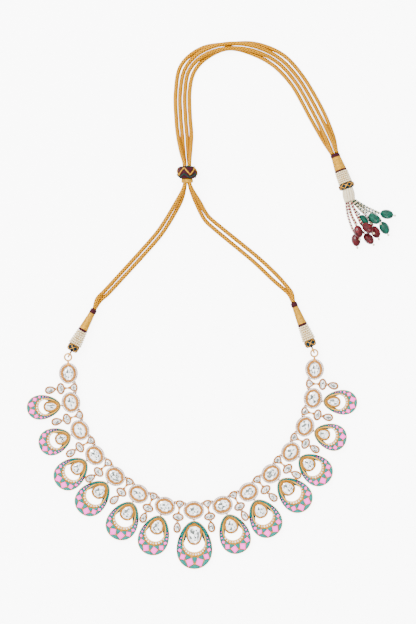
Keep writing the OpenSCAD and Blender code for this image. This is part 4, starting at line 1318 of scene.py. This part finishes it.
TURBAN = [(0, 3.2), (0.1, 3.7), (0.9, 4.4), (2.2, 4.4), (3.0, 3.7), (3.1, 3.2)]
turban = [(T_TURBAN + s, r * 0.98) for s, r in TURBAN]
parts = [turned("tassel_ring_enamel", tassel_where, turban, navy_enamel)]
parts += crossing_wires("tassel_wires", tassel_where, turban, T_TURBAN + 0.25, T_TURBAN + 2.85, 4, 0.5,
                        yellow_gold)
dress(join_pieces("tassel_ring_enamel", parts), "maroon_thread", "tassel_turban")

# %% String the seed beads
# The places and directions of the carved beads in mm and degrees, and the way each string takes
RUBIES = [
    ((94.8, 123.6, 2.7), -80, [(89.6, 145.4, 2.6), (90.4, 138.5, 1.2), (92.4, 131.5, 1.2)]),
    ((102.1, 124.3, 2.7), -52, [(90.9, 145.6, 2.4), (92.4, 139, 1.2), (94.4, 133.5, 1.2), (97, 129.4, 1.6)]),
    ((106, 128, 3.4), -66, [(92.8, 146, 4.6), (98, 140.5, 1.5), (101.9, 136.6, 1), (103.2, 133.6, 1.6)]),
    ((96, 128.3, 6.5), -78, [(90.3, 145.5, 4.6), (92, 138.5, 3.8), (94, 134.6, 5.6)]),
    ((101.3, 130.2, 8.2), -42, [(91.6, 145.8, 5.2), (94.5, 139.5, 5.4), (96.9, 134.4, 8)]),
]
EMERALDS = [
    ((112.6, 138, 2.9), -10, [(94.2, 146.6, 3.8), (101, 142.4, 2.5), (105.5, 140.2, 2)]),
    ((105.2, 135.6, 5.6), -40, [(93.3, 146.3, 4.8), (97.5, 141.5, 4.8)]),
    ((111.1, 130.3, 2.9), -62, [(93.9, 146.4, 2.8), (100.5, 141, 1.2), (106, 138.4, 0.9),
                                (108.2, 136, 1.2)]),
    ((99.2, 134.4, 2.9), -60, [(92.2, 145.9, 3.2), (94.2, 141.5, 2.5)]),
]
RUBY_L, EMERALD_L = 7.4, 7.8


def string_lines(beads, length):
    """For each bead: the seed string's line, and the two ends of its thread."""
    lines, threads = [], []
    for place, turn, way in beads:
        aim = Vector((*unit(turn), 0))
        near = Vector(place) - aim * (length / 2 + 0.75)
        far = Vector(place) + aim * (length / 2 + 0.8)
        lines.append(smooth_route([Vector(p) * MM for p in (*way, near)], 1.0 * MM))
        threads.append((near * MM, far * MM))
    return lines, threads


tassel_parts, threads = [], []
for name, beads, bead_length, colour in (("ruby", RUBIES, RUBY_L, maroon_seed),
                                         ("emerald", EMERALDS, EMERALD_L, green_seed)):
    lines, bead_threads = string_lines(beads, bead_length)
    threads += bead_threads
    for first, material in ((0, white_seed), (1, colour)):
        tassel_parts.append(bead_rows(f"{name}_string_{first}", lines, False, 0.9, 1.8, 0.95, material,
                                      skip=2, first=first))
for near, far in threads:
    tassel_parts.append(tube("bead_thread", [near, near.lerp(far, 0.5), far], 0.25 * MM, 6, cream_thread)[0])
stops = [[far, far + (far - near).normalized() * 0.1 * MM] for near, far in threads]
tassel_parts.append(bead_rows("stop_beads", stops, False, 1, 1.4, 1.3, white_seed, rings=6))

# %% [markdown]
# The silk bundle has one strand in the middle, six round it and twelve round those. They bow outwards a
# little between the ring and the strings.

# %% Lay the silk bundle
BUNDLE_START = at(tassel_where, 0, 0, T_BUNDLE)
BUNDLE_END = Vector((91.7, 145.9, 3.7)) * MM
BUNDLE_SIDE, UP = Vector((0.94, 0.33, 0)), Vector((0, 0, 1))
SILK_PITCH, SILK_R, BOW = 1.2, 0.68, 0.25
for i in range(19):
    ring = 0 if i == 0 else 1 if i < 7 else 2
    angle = math.tau * (i / 6 if ring == 1 else i / 12 + 0.1)
    spread = (BUNDLE_SIDE * math.cos(angle) + UP * math.sin(angle)) * ring
    start = BUNDLE_START + spread * SILK_PITCH * MM
    end = BUNDLE_END + spread * SILK_PITCH * MM
    bow = (start + end) / 2 + spread * BOW * MM
    tassel_parts.append(tube("silk", smooth_route([start, bow, end], MM), SILK_R * MM, 8, cream_thread)[0])
dress(join_pieces("tassel_seed_strings", tassel_parts), "seed_beads", "tassel_strings")
refinish("ruby_beads", ruby)
refinish("emerald_beads", emerald)

# %% [markdown]
# The cords are declared now that the pieces on them exist. Each strand runs from its tie to the tassel, as
# the photo shows it from end to end. The pieces that ride on a strand are named with it.

def on_cord(*words):
    """The shown pieces whose names start with one of the words."""
    return [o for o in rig.pieces() if o.name.startswith(words)]


partners = {
    "cord_left_outer": on_cord("left_", "slider", "tassel_tie"),
    "cord_left_inner": on_cord("tassel", "ruby", "emerald"),
    "cord_right_outer": on_cord("right_", "tassel_tie"),
    "cord_right_inner": on_cord("slider_wrap", "tassel_tie"),
}
for name, (strand, route, length) in strands.items():
    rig.cord(strand, exit=route[0], length=length, diameter=STRAND_D, far_end="fitting", stiffness="limp",
            lay="loose", path=route, with_pieces=partners[name])
print("cords declared:", len(strands))

# %% [markdown]
# ## Floor and light
#
# The photo has a plain white ground that glows like a light table, and soft light from above. The floor
# here shines for the camera, and only a little for the necklace, whose edges would pale otherwise. The sky
# is brightest near the top and dim at the horizon, so that flat metal is bright and its slopes are dark. Two
# large lamps, one to the upper left and one at the front, add glints.

# %% Floor and lights
FLOOR_HALF = 1.5
SEEN_GLOW, CAST_GLOW = 7.0, 0.1
floor_finish, floor_tree, floor_shader = finish_named("glowing white floor", Roughness=0.9)
white = ramp(floor_tree, noise(floor_tree, 40.0, 2.0), [(0.2, "FDFDFD"), (0.8, "FFFFFF")])
feed(floor_tree, white, floor_shader, "Base Color", "Emission Color")
seen = add(floor_tree, "ShaderNodeLightPath").outputs["Is Camera Ray"]
glow = compute(floor_tree, "MULTIPLY_ADD", seen, SEEN_GLOW, CAST_GLOW)
feed(floor_tree, glow, floor_shader, "Emission Strength")
corners = [(x * FLOOR_HALF, y * FLOOR_HALF, 0) for x, y in ((-1, -1), (1, -1), (1, 1), (-1, 1))]
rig.stage(mesh_piece("floor", corners, [(0, 1, 2, 3)], floor_finish, smooth=False))

BRIGHTEST = (-0.2, 0.25, 0.947)
HORIZON, ZENITH = 0.75, 3.4
world = bpy.data.worlds.new("studio")
world.use_nodes = True
sky = world.node_tree
way = add(sky, "ShaderNodeTexCoord").outputs["Generated"]
facing = add(sky, "ShaderNodeVectorMath", {0: way, 1: BRIGHTEST}, operation="DOT_PRODUCT")
bloom = compute(sky, "POWER", compute(sky, "MAXIMUM", facing.outputs["Value"], 0.0), 3.0)
background = sky.nodes["Background"]
feed(sky, compute(sky, "MULTIPLY_ADD", bloom, ZENITH, HORIZON), background, "Strength")
background.inputs["Color"].default_value = linear("FFFFFF")
bpy.context.scene.world = world
for name, place, size, power in (("key", (-0.5, 0.55, 0.8), 0.4, 7), ("front", (0.2, -0.7, 0.7), 0.4, 3)):
    lamp = bpy.data.lights.new(name, "AREA")
    lamp.size = size
    lamp.energy = power
    light = bpy.data.objects.new(name, lamp)
    light.location = place
    light.rotation_euler = (Vector((0, 0.05, 0)) - Vector(place)).to_track_quat("-Z", "Y").to_euler()
    bpy.context.scene.collection.objects.link(light)
print("lights:", [o.name for o in bpy.context.scene.objects if o.type == "LIGHT"])

# %% Compare the sizes and finish
dressed_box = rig.bounds()
sizes = {"cad": [list(corner) for corner in cad_box], "dressed": [list(corner) for corner in dressed_box]}
json.dump(sizes, open("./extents.json", "w"))
for label, (low, high) in (("solids", cad_box), ("dressed", dressed_box)):
    print(label, [round(c / MM, 1) for c in (*low, *high)])
